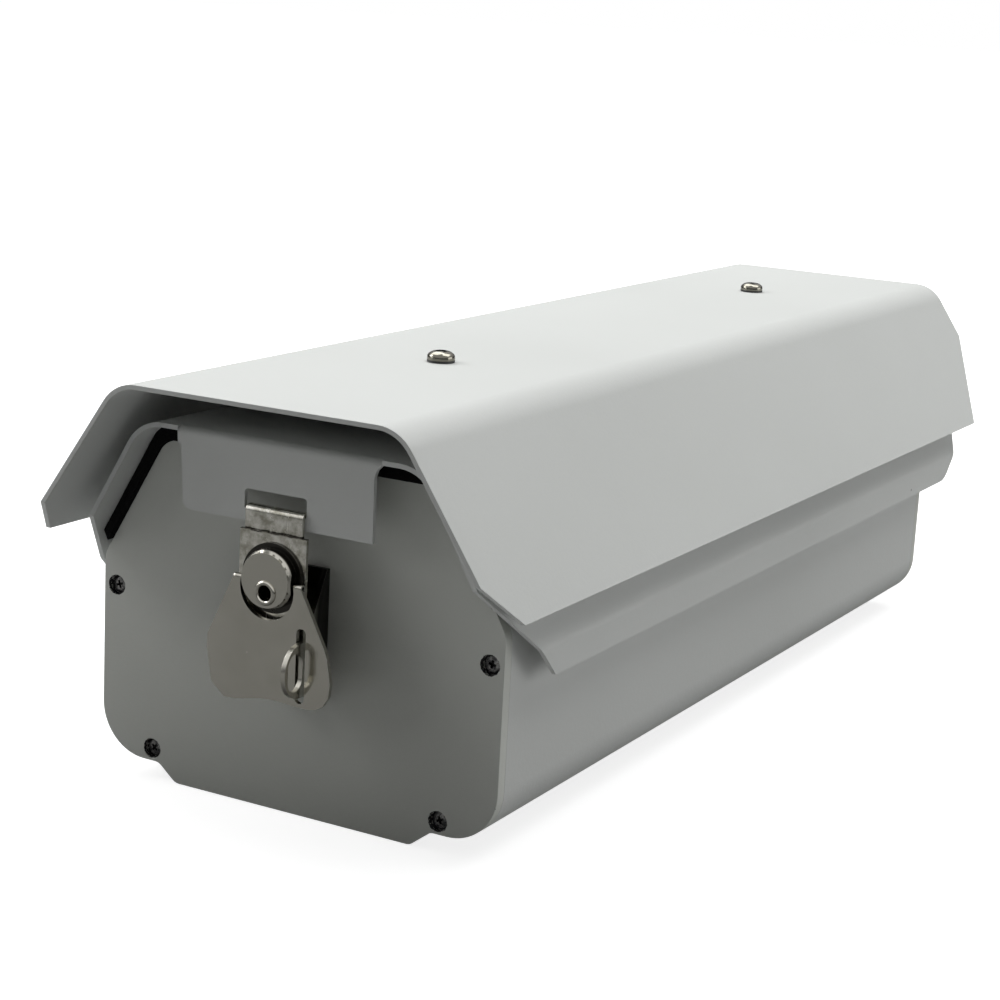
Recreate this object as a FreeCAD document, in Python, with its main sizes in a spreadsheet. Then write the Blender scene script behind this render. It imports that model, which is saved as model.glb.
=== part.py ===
import FreeCAD, Part
import math
import os
import re
import Sketcher

# Weatherproof camera housing that stands on its plinth.
# X runs to the right, Y from the latch end to the window end, Z up.
# The origin is the middle of the bracket holes, on the underside of the plinth.

SIZES = [
    # extruded tray and the two end plates that share its outline
    ("body_long", 374), ("body_wide", 150), ("wall", 2.5), ("floor_thick", 3), ("plinth_inset", 30),
    ("plinth_flat", "=body_wide - 2 * plinth_inset"), ("plinth_high", 5.7), ("plinth_step", 7),
    ("step_round", 4), ("corner_round", 17), ("shoulder_high", 72.5), ("crown_high", 114),
    ("crown_wide", 102), ("shoulder_round", 10), ("crown_round", 8), ("lip_rise", 7.5),
    ("plate_thick", 4),
    # self-tapping screws of the end plates, in channels of the tray
    ("upper_screw_inset", 5), ("upper_screw_side", "=body_wide / 2 - upper_screw_inset"),
    ("upper_screw_drop", 9.8), ("upper_screw_high", "=shoulder_high - upper_screw_drop"),
    ("lower_screw_inset", 20.4), ("lower_screw_side", "=body_wide / 2 - lower_screw_inset"),
    ("lower_screw_rise", 4.2), ("lower_screw_high", "=plinth_high + lower_screw_rise"),
    ("channel_round", 4), ("screw_shank", 3.4), ("screw_head", 6), ("screw_head_tall", 2.2),
    ("screw_long", 16), ("head_pocket", 6.6), ("pocket_deep", 2.6), ("hole_gap", 0.2),
    # folded lid
    ("lid_rise", 8), ("lid_top", "=crown_high + lid_rise"), ("lid_crown_side", 1),
    ("lid_crown_wide", "=crown_wide + 2 * lid_crown_side"), ("lid_side", 8.2),
    ("lid_wide", "=body_wide + 2 * lid_side"), ("crease_below", 4.5),
    ("crease_high", "=shoulder_high - crease_below"), ("skirt_drop", 9.8), ("lid_thick", 1.5),
    ("lid_bend", 9.5), ("crease_bend", 5), ("lid_rear_reach", 12.5), ("lid_front_reach", 28),
    ("lid_rear_rise", 29.8), ("lid_rear_run", 30), ("lid_front_rise", 19.3), ("lid_front_run", 21),
    ("corner_nip", 3),
    # tab folded down from the lid, with the slot for the hook
    ("tab_wide", 72), ("tab_tall", 25.7), ("tab_bottom", "=lid_top - tab_tall"), ("tab_bend", 2.5),
    ("tab_round", 3), ("nick_wide", 1.3), ("nick_deep", 3), ("slot_wide", 22.8), ("slot_rise", 4),
    ("slot_bottom", "=tab_bottom + slot_rise"), ("slot_tall", 6), ("slot_round", 1.2),
    # foam seals
    ("seal_gap", 0.3), ("seal_rise", 3.5), ("seal_foot", "=shoulder_high + seal_rise"),
    ("seal_out", 2.5), ("seal_in", 2), ("side_seal_low", 1.5), ("side_seal_tall", 5.5),
    ("side_seal_stop", 14), ("front_seal_thick", 2.4),
    # sun shield on two spacers
    ("shield_rise", 13.5), ("shield_top", "=lid_top + shield_rise"), ("shield_crown_inset", 0.8),
    ("shield_crown_wide", "=lid_crown_wide - 2 * shield_crown_inset"), ("shield_side", 5.2),
    ("shield_wide", "=lid_wide + 2 * shield_side"), ("shield_tall", 54),
    ("shield_bottom", "=shield_top - shield_tall"), ("shield_thick", 1.5), ("shield_bend", 24),
    ("shield_rear_reach", 26), ("shield_front_reach", 63.5), ("shield_rear_rise", 12),
    ("shield_rear_run", 12.5), ("shield_front_rise", 32.5), ("shield_front_run", 37),
    ("shield_screw_rear", 82), ("shield_screw_front", 28.5), ("bolt_round", 2.5), ("bolt_head", 4.75),
    ("bolt_head_tall", 3), ("washer_round", 5.1), ("washer_thick", 0.8), ("spacer_round", 6),
    ("nut_wide", 8), ("nut_tall", 4), ("bolt_proud", 2),
    # window in the front plate
    ("window_wide", 88), ("window_tall", 66), ("window_middle", 60), ("window_round", 6),
    ("glass_margin", 5), ("glass_thick", 3), ("gasket_thick", 1), ("retainer_margin", 10),
    ("retainer_back", 2), ("retainer_screw_inset", 2.8), ("retainer_screw", 2.4),
    ("retainer_head", 4.6),
    # lid hinge at the window end
    ("hinge_ahead", 4.5), ("ear_gap", 1.2), ("ear_thick", 1.5), ("foot_inner", 62), ("foot_thick", 1.5),
    ("stud_round", 2.5), ("stud_gap", 0.05), ("stud_tip", 0.6), ("collar_round", 3.3),
    ("collar_gap", 0.3),
    # rotary draw latch on the rear plate; heights are above the standing face
    ("latch_side", 1.2), ("pivot_aside", 1), ("boss_aside", 0.6), ("tongue_aside", 0.6), ("sheet", 1.5),
    ("staple_thick", 1.6), ("tongue_half", 10.5), ("tongue_lap", 2), ("tongue_tall", 7.3),
    ("hook_rise", 1.5), ("hook_top", "=slot_bottom + hook_rise"), ("hook_gap", 0.3), ("hook_drop", 3),
    ("hook_bend", 1.2), ("hook_round", 1.9), ("link_top", "=hook_top - tongue_tall"),
    ("link_tall", 32.5), ("link_low", "=link_top - link_tall"), ("link_half", 12.2), ("link_out", 15),
    ("link_thick", 1.2), ("pivot_drop", 17.5), ("pivot_high", "=link_top - pivot_drop"),
    ("cam_offset", 3.8), ("journal_round", 8), ("journal_gap", 0.15), ("journal_in", 11),
    ("flange_round", 11), ("flange_thick", 0.8), ("face_gap", 0.1), ("boss_round", 9.3),
    ("boss_out", 19.8), ("boss_flat", 8.8), ("boss_edge", 1.5), ("rivet_round", 3), ("rivet_bore", 2.3),
    ("rivet_lip", 3.9), ("rivet_lip_thick", 0.8), ("base_rise", 5.5),
    ("base_top", "=pivot_high + base_rise"), ("base_tall", 42.5), ("base_low", "=base_top - base_tall"),
    ("base_half", 11.2), ("wall_out", 9), ("wall_slant", 14.5), ("staple_drop", 22.3),
    ("staple_middle", "=pivot_high - staple_drop"), ("staple_round", 8.6), ("staple_side", 14),
    ("joggle_start", 5), ("joggle_end", 9.5), ("staple_out", 18.4), ("eye_out", 21.4),
    ("eye_wide", 7.6), ("eye_tall", 12), ("knuckle_round", 1.2), ("wing_pivot_rise", 2.8),
    ("wing_pivot_high", "=pivot_high + wing_pivot_rise"), ("wing_out", 18.4),
    ("wing_pivot_out", "=wing_out - knuckle_round"), ("knuckle_inner", 9.6), ("knuckle_outer", 12.4),
    ("pin_round", 0.6), ("pin_gap", 0.05), ("pin_seat", 3), ("wing_cut_rise", 1),
    ("wing_cut_high", "=pivot_high + wing_cut_rise"), ("wing_cut", 9.8), ("wing_slot_shift", 0.4),
    ("wing_slot_side", "=staple_side - staple_thick / 2 + wing_slot_shift"), ("wing_slot_wide", 3.4),
    ("wing_slot_drop", 32.8), ("wing_slot_low", "=pivot_high - wing_slot_drop"),
    ("wing_slot_tall", 23.5), ("fixing_round", 1.6), ("fixing_head", 3), ("fixing_head_tall", 1.2),
    ("fixing_rise", 4), ("fixing_low", "=base_low + fixing_rise"), ("fixing_step", 16),
    ("fixing_high", "=fixing_low + fixing_step"),
    # bracket plate, cable entries and camera rail inside
    ("bracket_wide", 50), ("bracket_long", 100), ("bracket_hole", 2.5), ("mount_plate_thick", 4),
    ("mount_plate_rim", 12), ("entry_round", 10.2), ("entry_side", 22), ("entry_behind", 42),
    ("rail_wide", 56), ("rail_long", 250), ("rail_thick", 2), ("rail_high", 20), ("rail_ahead", 12),
    ("rail_slot_wide", 7), ("rail_slot_long", 150), ("rail_foot", 9), ("knob_round", 7),
    ("knob_tall", 6), ("camera_thread", 3.1), ("camera_screw_tall", 7),
]

doc = FreeCAD.newDocument("CameraHousing")
sheet = doc.addObject("Spreadsheet::Sheet", "Sizes")
for row, (name, number) in enumerate(SIZES, start=1):
    sheet.set("A%d" % row, name)
    sheet.set("B%d" % row, str(number))
    sheet.setAlias("B%d" % row, name)
doc.recompute()

NAMES = set(name for name, number in SIZES)

# Rear and front faces of the end plates, and the leans of the folded sides.
REAR = "(0 - body_long / 2)"
FRONT = "(body_long / 2)"
LEAN = "((body_wide - crown_wide) / 2 / (crown_high - shoulder_high))"
LID_LEAN = "((lid_wide - lid_crown_wide) / 2 / (lid_top - crease_high))"
SHIELD_LEAN = "((shield_wide - shield_crown_wide) / 2 / (shield_top - shield_bottom))"


def size(name):
    return float(sheet.get(name))


def bind(thing, prop, text):
    full = re.sub(r"[a-z_]+", lambda m: "Sizes." + m.group() if m.group() in NAMES else m.group(), text)
    thing.setExpression(prop, full)


def new_body(label):
    body = doc.addObject("PartDesign::Body", label)
    body.Label = label
    body.AllowCompound = True
    return body


# A sketch on one of the body's own planes, moved along that plane's axis to a level.
def new_sketch(body, name, plane, level):
    sketch = body.newObject("Sketcher::SketchObject", name)
    support = [item for item in body.Origin.OriginFeatures if item.Role == plane][0]
    sketch.AttachmentSupport = [(support, "")]
    sketch.MapMode = "FlatFace"
    side = "0 - (%s)" % level if plane == "XZ_Plane" else level
    bind(sketch, ".AttachmentOffset.Base.z", side)
    return sketch


# A closed outline whose every corner is held by its two distances from the origin.
def add_outline(sketch, corners):
    first = sketch.GeometryCount
    count = len(corners)
    ring = [FreeCAD.Vector(9 * math.cos(2 * math.pi * i / count), 9 * math.sin(2 * math.pi * i / count), 0)
            for i in range(count)]
    for i in range(count):
        sketch.addGeometry(Part.LineSegment(ring[i], ring[(i + 1) % count]), False)
    for i in range(count):
        sketch.addConstraint(Sketcher.Constraint("Coincident", first + i, 2, first + (i + 1) % count, 1))
    for i, (across, along) in enumerate(corners):
        number = sketch.addConstraint(Sketcher.Constraint("DistanceX", -1, 1, first + i, 1, ring[i].x))
        bind(sketch, "Constraints[%d]" % number, across)
        number = sketch.addConstraint(Sketcher.Constraint("DistanceY", -1, 1, first + i, 1, ring[i].y))
        bind(sketch, "Constraints[%d]" % number, along)


def add_circle(sketch, across, along, radius):
    number = sketch.addGeometry(Part.Circle(FreeCAD.Vector(1, 1, 0), FreeCAD.Vector(0, 0, 1), 1), False)
    for kind, text in (("DistanceX", across), ("DistanceY", along)):
        held = sketch.addConstraint(Sketcher.Constraint(kind, -1, 1, number, 3, 1))
        bind(sketch, "Constraints[%d]" % held, text)
    held = sketch.addConstraint(Sketcher.Constraint("Radius", number, 1))
    bind(sketch, "Constraints[%d]" % held, radius)


def outline_sketch(body, name, plane, level, corners):
    sketch = new_sketch(body, name, plane, level)
    add_outline(sketch, corners)
    doc.recompute()
    return sketch


def circle_sketch(body, name, plane, level, circles):
    sketch = new_sketch(body, name, plane, level)
    for across, along, radius in circles:
        add_circle(sketch, across, along, radius)
    doc.recompute()
    return sketch


# Pads grow along the plane's own axis; pockets cut along it, or against it with back set.
def pad(body, sketch, name, length):
    feature = body.newObject("PartDesign::Pad", name)
    feature.Profile = sketch
    bind(feature, "Length", length)
    feature.Reversed = "XZ_Plane" in sketch.AttachmentSupport[0][0].Role
    doc.recompute()
    return feature


def pocket(body, sketch, name, length, back=False):
    before = body.Shape.Volume
    feature = body.newObject("PartDesign::Pocket", name)
    feature.Profile = sketch
    bind(feature, "Length", length)
    facing = "XZ_Plane" in sketch.AttachmentSupport[0][0].Role
    feature.Reversed = facing == back
    doc.recompute()
    if body.Shape.Volume >= before:
        raise RuntimeError("%s of %s cuts nothing" % (name, body.Label))
    return feature


# Rounds the edges that rise from chosen corners of a sketch through the feature made from it.
def round_corners(body, feature, sketch, corners, radius, name):
    spots = [sketch.Placement.multVec(sketch.Geometry[i].StartPoint) for i in corners]
    axis = sketch.Placement.Rotation.multVec(FreeCAD.Vector(0, 0, 1))
    picked = []
    for number, edge in enumerate(feature.Shape.Edges, start=1):
        along = edge.Vertexes[-1].Point - edge.Vertexes[0].Point
        if along.Length < 1e-6 or along.cross(axis).Length > 1e-6 * along.Length:
            continue
        for spot in spots:
            if (edge.Vertexes[0].Point - spot).cross(axis).Length < 1e-4:
                picked.append("Edge%d" % number)
                break
    return fillet(body, feature, picked, radius, name)


def fillet(body, feature, edges, radius, name):
    rounding = body.newObject("PartDesign::Fillet", name)
    rounding.Base = (feature, edges)
    bind(rounding, "Radius", radius)
    doc.recompute()
    return rounding


def bevel(body, feature, edges, depth, name):
    cut = body.newObject("PartDesign::Chamfer", name)
    cut.Base = (feature, edges)
    bind(cut, "Size", depth)
    doc.recompute()
    return cut


# Edges of a feature that run along X and lie on the given Y and Z.
def edges_along_x(feature, y, z):
    picked = []
    for number, edge in enumerate(feature.Shape.Edges, start=1):
        ends = [vertex.Point for vertex in edge.Vertexes]
        if all(abs(end.y - y) < 1e-3 and abs(end.z - z) < 1e-3 for end in ends):
            picked.append("Edge%d" % number)
    return picked


# Hollows a folded sheet out of its filled outline, open below and at both ends.
def sheet_of(body, feature, thick, name):
    box = feature.Shape.BoundBox
    open_faces = []
    for number, face in enumerate(feature.Shape.Faces, start=1):
        middle = face.CenterOfMass
        on_end = min(abs(middle.y - box.YMin), abs(middle.y - box.YMax)) < 1e-3
        if on_end or abs(middle.z - box.ZMin) < 1e-3:
            open_faces.append("Face%d" % number)
    shell = body.newObject("PartDesign::Thickness", name)
    shell.Base = (feature, open_faces)
    bind(shell, "Value", thick)
    shell.Reversed = True
    doc.recompute()
    return shell


# Right half of an outline given from the bottom up; the left half mirrors it.
def mirrored(right):
    return right + [("0 - (%s)" % across, along) for across, along in reversed(right)]


# The lower outline that the tray and both end plates share, up to the shoulder.
LOWER = [("plinth_flat / 2", "0"), ("plinth_flat / 2 + plinth_step", "plinth_high"),
         ("body_wide / 2", "plinth_high"), ("body_wide / 2", "shoulder_high")]

SCREW_SPOTS = [(side + name[0], name[1]) for side in ("", "0 - ")
               for name in (("upper_screw_side", "upper_screw_high"), ("lower_screw_side", "lower_screw_high"))]


def screw_circles(radius):
    return [(across, along, radius) for across, along in SCREW_SPOTS]


# Aluminium extrusion: floor with plinth, side walls, inward lips and four screw channels.
def make_tray():
    body = new_body("body_tray")
    start = REAR + " + plate_thick"
    long = "body_long - 2 * plate_thick"
    lip = ("body_wide / 2 - lip_rise * " + LEAN, "shoulder_high + lip_rise")
    outer = outline_sketch(body, "tray_outline", "XZ_Plane", start, mirrored(LOWER + [lip]))
    pad(body, outer, "tray_block", long)
    inner_shoulder = "shoulder_high - wall * tan(atan(%s) / 2)" % LEAN
    over = "(lip_rise + 2 * wall)"
    cavity = [("plinth_flat / 2 - wall / 2", "floor_thick"),
              ("plinth_flat / 2 + plinth_step - wall / 2", "plinth_high + wall"),
              ("body_wide / 2 - wall", "plinth_high + wall"),
              ("body_wide / 2 - wall", inner_shoulder),
              ("body_wide / 2 - wall - %s * %s" % (over, LEAN), inner_shoulder + " + " + over)]
    inner = outline_sketch(body, "tray_cavity", "XZ_Plane", start, mirrored(cavity))
    feature = pocket(body, inner, "tray_hollow", long)
    feature = round_corners(body, feature, inner, [2, 7], "corner_round - wall", "inner_corners")
    feature = round_corners(body, feature, outer, [2, 7], "corner_round", "lower_corners")
    round_corners(body, feature, outer, [0, 1, 8, 9], "step_round", "plinth_rounds")
    channels = circle_sketch(body, "channel_rings", "XZ_Plane", start, screw_circles("channel_round"))
    pad(body, channels, "screw_channels", long)
    bores = circle_sketch(body, "channel_bores", "XZ_Plane", start, screw_circles("screw_shank / 2"))
    pocket(body, bores, "screw_bores", long)
    holes = [("%sbracket_wide / 2" % a, "%sbracket_long / 2" % b, "bracket_hole")
             for a in ("", "0 - ") for b in ("", "0 - ")]
    holes += [(a + "entry_side", REAR + " + entry_behind", "entry_round") for a in ("", "0 - ")]
    drilled = circle_sketch(body, "floor_holes", "XY_Plane", "floor_thick", holes)
    pocket(body, drilled, "floor_bores", "floor_thick", back=True)
    return body


def plate_block(label, start):
    body = new_body(label)
    outer = outline_sketch(body, label + "_outline", "XZ_Plane", start,
                           mirrored(LOWER + [("crown_wide / 2", "crown_high")]))
    feature = pad(body, outer, label + "_block", "plate_thick")
    feature = round_corners(body, feature, outer, [2, 7], "corner_round", label + "_corners")
    feature = round_corners(body, feature, outer, [0, 1, 8, 9], "step_round", label + "_steps")
    feature = round_corners(body, feature, outer, [3, 6], "shoulder_round", label + "_shoulders")
    round_corners(body, feature, outer, [4, 5], "crown_round", label + "_crown")
    return body


# Flat end plate that carries the latch, with four pocketed screws.
def make_rear_plate():
    body = plate_block("rear_plate", REAR)
    through = circle_sketch(body, "rear_holes", "XZ_Plane", REAR, screw_circles("screw_shank / 2 + hole_gap"))
    pocket(body, through, "rear_screw_holes", "plate_thick")
    heads = circle_sketch(body, "rear_pockets", "XZ_Plane", REAR, screw_circles("head_pocket / 2"))
    pocket(body, heads, "rear_head_pockets", "pocket_deep")
    fixings = [("latch_side", "fixing_low", "fixing_round"), ("latch_side", "fixing_high", "fixing_round")]
    drilled = circle_sketch(body, "rear_fixings", "XZ_Plane", REAR, fixings)
    pocket(body, drilled, "latch_fixing_holes", "plate_thick")
    return body


def window_outline(margin):
    half = "window_wide / 2 + " + margin
    low = "window_middle - window_tall / 2 - (%s)" % margin
    high = "window_middle + window_tall / 2 + " + margin
    return mirrored([(half, low), (half, high)])


RETAINER_SPOTS = [("%s(window_wide / 2 + retainer_margin - retainer_screw_inset)" % a,
                   "window_middle %s (window_tall / 2 + retainer_margin - retainer_screw_inset)" % b)
                  for a in ("", "0 - ") for b in ("+", "-")]


# Flat end plate with the window opening.
def make_front_plate():
    body = plate_block("front_plate", FRONT + " - plate_thick")
    opening = outline_sketch(body, "window_outline", "XZ_Plane", FRONT + " - plate_thick", window_outline("0"))
    feature = pocket(body, opening, "window_opening", "plate_thick")
    round_corners(body, feature, opening, [0, 1, 2, 3], "window_round", "window_corners")
    start = FRONT + " - plate_thick"
    through = circle_sketch(body, "front_holes", "XZ_Plane", start, screw_circles("screw_shank / 2 + hole_gap"))
    pocket(body, through, "front_screw_holes", "plate_thick")
    lower = [spot for spot in screw_circles("head_pocket / 2") if spot[1] == "lower_screw_high"]
    heads = circle_sketch(body, "front_pockets", "XZ_Plane", FRONT + " - pocket_deep", lower)
    pocket(body, heads, "front_head_pockets", "pocket_deep")
    tapped = [(across, along, "retainer_screw / 2") for across, along in RETAINER_SPOTS]
    blind = circle_sketch(body, "retainer_taps", "XZ_Plane", start, tapped)
    pocket(body, blind, "retainer_tappings", "plate_thick / 2")
    return body


# Rubber ring, glass and clamping frame behind the window opening.
def make_window():
    seat = FRONT + " - plate_thick - gasket_thick"
    ring = new_body("window_gasket")
    edge = outline_sketch(ring, "gasket_edge", "XZ_Plane", seat, window_outline("glass_margin"))
    pad(ring, edge, "gasket_block", "gasket_thick")
    hole = outline_sketch(ring, "gasket_hole", "XZ_Plane", seat, window_outline("0"))
    feature = pocket(ring, hole, "gasket_opening", "gasket_thick")
    round_corners(ring, feature, hole, [0, 1, 2, 3], "window_round", "gasket_corners")
    pane = new_body("window_glass")
    edge = outline_sketch(pane, "glass_edge", "XZ_Plane", seat + " - glass_thick", window_outline("glass_margin"))
    pad(pane, edge, "glass_block", "glass_thick")
    frame = new_body("window_retainer")
    back = seat + " - glass_thick - retainer_back"
    edge = outline_sketch(frame, "retainer_edge", "XZ_Plane", back, window_outline("retainer_margin"))
    feature = pad(frame, edge, "retainer_block", "retainer_back + glass_thick + gasket_thick")
    round_corners(frame, feature, edge, [0, 1, 2, 3], "window_round", "retainer_corners")
    hole = outline_sketch(frame, "retainer_hole", "XZ_Plane", back, window_outline("0"))
    feature = pocket(frame, hole, "retainer_opening", "retainer_back + glass_thick + gasket_thick")
    round_corners(frame, feature, hole, [0, 1, 2, 3], "window_round", "retainer_rounds")
    recess = outline_sketch(frame, "retainer_recess", "XZ_Plane", back + " + retainer_back",
                            window_outline("glass_margin + hole_gap"))
    pocket(frame, recess, "glass_recess", "glass_thick + gasket_thick")
    holes = [(across, along, "retainer_screw / 2 + hole_gap") for across, along in RETAINER_SPOTS]
    drilled = circle_sketch(frame, "retainer_bores", "XZ_Plane", back, holes)
    pocket(frame, drilled, "retainer_holes", "retainer_back + glass_thick + gasket_thick")
    return [ring, pane, frame]


# Side-view cut that slopes the lower corner of a folded sheet at one end.
def cut_corner(body, name, end, run, low, rise, toward, half):
    out = "corner_nip"
    sign = "+" if toward > 0 else "-"
    away = "-" if toward > 0 else "+"
    corners = [(end, "%s + %s" % (low, rise)),
               ("%s %s %s" % (end, sign, run), low),
               ("%s %s %s" % (end, sign, run), "%s - %s" % (low, out)),
               ("%s %s %s" % (end, away, out), "%s - %s" % (low, out)),
               ("%s %s %s" % (end, away, out), "%s + %s" % (low, rise))]
    side = outline_sketch(body, name + "_side", "YZ_Plane", "0 - (%s)" % half, corners)
    return pocket(body, side, name, "2 * (%s)" % half)


SHIELD_BOLTS = [REAR + " + shield_screw_rear", FRONT + " - shield_screw_front"]


# Folded sheet lid: flat top, two sloped sides, short skirts, and the slotted rear tab.
def make_lid():
    body = new_body("lid")
    rear = "(%s - lid_rear_reach)" % REAR
    front = "(%s + lid_front_reach)" % FRONT
    low = "crease_high - skirt_drop"
    outer = outline_sketch(body, "lid_outline", "XZ_Plane", rear,
                           mirrored([("lid_wide / 2", low), ("lid_wide / 2", "crease_high"),
                                     ("lid_crown_wide / 2", "lid_top")]))
    feature = pad(body, outer, "lid_block", "body_long + lid_rear_reach + lid_front_reach")
    feature = round_corners(body, feature, outer, [2, 3], "lid_bend", "lid_bends")
    feature = round_corners(body, feature, outer, [1, 4], "crease_bend", "crease_bends")
    sheet_of(body, feature, "lid_thick", "lid_sheet")
    cut_corner(body, "lid_rear_corners", rear, "lid_rear_run", low, "lid_rear_rise", 1, "lid_wide")
    cut_corner(body, "lid_front_corners", front, "lid_front_run", low, "lid_front_rise", -1, "lid_wide")
    flap = outline_sketch(body, "tab_outline", "XZ_Plane", rear,
                          mirrored([("tab_wide / 2", "tab_bottom"), ("tab_wide / 2", "lid_top")]))
    feature = pad(body, flap, "tab", "lid_thick")
    feature = round_corners(body, feature, flap, [3], "tab_round", "tab_corner")
    nick = outline_sketch(body, "nick_right", "XY_Plane", "lid_top", [
        ("tab_wide / 2", rear + " - nick_wide"), ("tab_wide / 2 + nick_wide", rear + " - nick_wide"),
        ("tab_wide / 2 + nick_wide", rear + " + nick_deep"), ("tab_wide / 2", rear + " + nick_deep")])
    add_outline(nick, [
        ("0 - tab_wide / 2", rear + " - nick_wide"), ("0 - tab_wide / 2 - nick_wide", rear + " - nick_wide"),
        ("0 - tab_wide / 2 - nick_wide", rear + " + nick_deep"), ("0 - tab_wide / 2", rear + " + nick_deep")])
    feature = pocket(body, nick, "bend_reliefs", "2 * lid_thick", back=True)
    fold = edges_along_x(feature, -size("body_long") / 2 - size("lid_rear_reach"), size("lid_top"))
    tab_edges = [name for name in fold
                 if abs(feature.Shape.getElement(name).CenterOfMass.x) < size("tab_wide") / 4]
    fillet(body, feature, tab_edges, "tab_bend", "tab_fold")
    slot = outline_sketch(body, "slot_outline", "XZ_Plane", rear,
                          mirrored([("slot_wide / 2", "slot_bottom"),
                                    ("slot_wide / 2", "slot_bottom + slot_tall")]))
    feature = pocket(body, slot, "hook_slot", "lid_thick")
    round_corners(body, feature, slot, [1, 2], "slot_round", "slot_corners")
    holes = [("0", y, "bolt_round + hole_gap") for y in SHIELD_BOLTS]
    drilled = circle_sketch(body, "lid_holes", "XY_Plane", "lid_top", holes)
    pocket(body, drilled, "lid_bolt_holes", "2 * lid_thick", back=True)
    return body


# Folded sheet sun shield that overhangs the lid at both ends.
def make_shield():
    body = new_body("sun_shield")
    rear = "(%s - shield_rear_reach)" % REAR
    front = "(%s + shield_front_reach)" % FRONT
    outer = outline_sketch(body, "shield_outline", "XZ_Plane", rear,
                           mirrored([("shield_wide / 2", "shield_bottom"),
                                     ("shield_crown_wide / 2", "shield_top")]))
    feature = pad(body, outer, "shield_block", "body_long + shield_rear_reach + shield_front_reach")
    feature = round_corners(body, feature, outer, [1, 2], "shield_bend", "shield_bends")
    sheet_of(body, feature, "shield_thick", "shield_sheet")
    cut_corner(body, "shield_rear_corners", rear, "shield_rear_run", "shield_bottom",
               "shield_rear_rise", 1, "shield_wide")
    cut_corner(body, "shield_front_corners", front, "shield_front_run", "shield_bottom",
               "shield_front_rise", -1, "shield_wide")
    holes = [("0", y, "bolt_round + hole_gap") for y in SHIELD_BOLTS]
    drilled = circle_sketch(body, "shield_holes", "XY_Plane", "shield_top", holes)
    pocket(body, drilled, "shield_bolt_holes", "2 * shield_thick", back=True)
    return body


# Half width of the lid's inner face, and of the end plates' slopes, at a height.
def lid_inner(height):
    return "(lid_wide / 2 - (%s - crease_high) * %s - lid_thick * sqrt(1 + %s ^ 2))" % (height, LID_LEAN, LID_LEAN)


def slope_outer(height, gap):
    return "(body_wide / 2 - (%s - shoulder_high) * %s + %s * sqrt(1 + %s ^ 2))" % (height, LEAN, gap, LEAN)


# Black foam arch glued in the lid, over the rear plate.
def make_rear_seal():
    body = new_body("lid_rear_seal")
    start = REAR + " - seal_out"
    top = "(lid_top - lid_thick)"
    right = [(slope_outer("seal_foot", "seal_gap"), "seal_foot"), (lid_inner("seal_foot"), "seal_foot"),
             (lid_inner(top), top)]
    under = "(crown_high + seal_gap)"
    inner = (slope_outer(under, "seal_gap"), under)
    corners = right + [("0 - " + a, b) for a, b in reversed(right)] + [("0 - " + inner[0], under), inner]
    ring = outline_sketch(body, "rear_seal_outline", "XZ_Plane", start, corners)
    feature = pad(body, ring, "rear_seal_arch", "seal_out + plate_thick + seal_in")
    feature = round_corners(body, feature, ring, [2, 3], "lid_bend - lid_thick", "rear_seal_outside")
    round_corners(body, feature, ring, [6, 7], "crown_round", "rear_seal_inside")
    return body


# Foam strips in the lid that close on the slanted lips of the tray.
def make_side_seals():
    body = new_body("lid_side_seals")
    start = REAR + " + plate_thick + seal_in + hole_gap"
    low = "(shoulder_high + side_seal_low)"
    high = "(shoulder_high + side_seal_low + side_seal_tall)"
    right = [(slope_outer(low, "seal_gap"), low), (lid_inner(low), low),
             (lid_inner(high), high), (slope_outer(high, "seal_gap"), high)]
    strips = outline_sketch(body, "side_seal_outline", "XZ_Plane", start, right)
    add_outline(strips, [("0 - " + a, b) for a, b in right])
    pad(body, strips, "side_seal_strips",
        "body_long - 2 * plate_thick - seal_in - hole_gap - side_seal_stop")
    return body


# Foam arch on the edge of the front plate; the lid swings clear of it.
def make_front_seal():
    body = new_body("front_seal")
    start = FRONT + " - plate_thick"
    top = "(crown_high + front_seal_thick)"
    under = "crown_high"
    outside = [(slope_outer("seal_foot", "0"), "seal_foot"),
               (slope_outer("seal_foot", "front_seal_thick"), "seal_foot"),
               (slope_outer(top, "front_seal_thick"), top)]
    inside = ("crown_wide / 2", under)
    corners = outside + [("0 - " + a, b) for a, b in reversed(outside)] + [("0 - " + inside[0], under), inside]
    ring = outline_sketch(body, "front_seal_outline", "XZ_Plane", start, corners)
    feature = pad(body, ring, "front_seal_arch", "plate_thick")
    feature = round_corners(body, feature, ring, [2, 3], "crown_round + front_seal_thick", "front_seal_outside")
    round_corners(body, feature, ring, [6, 7], "crown_round", "front_seal_inside")
    return body


def hinge_line():
    return "(%s + hinge_ahead)" % FRONT, "(crease_high - skirt_drop / 2)"


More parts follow.
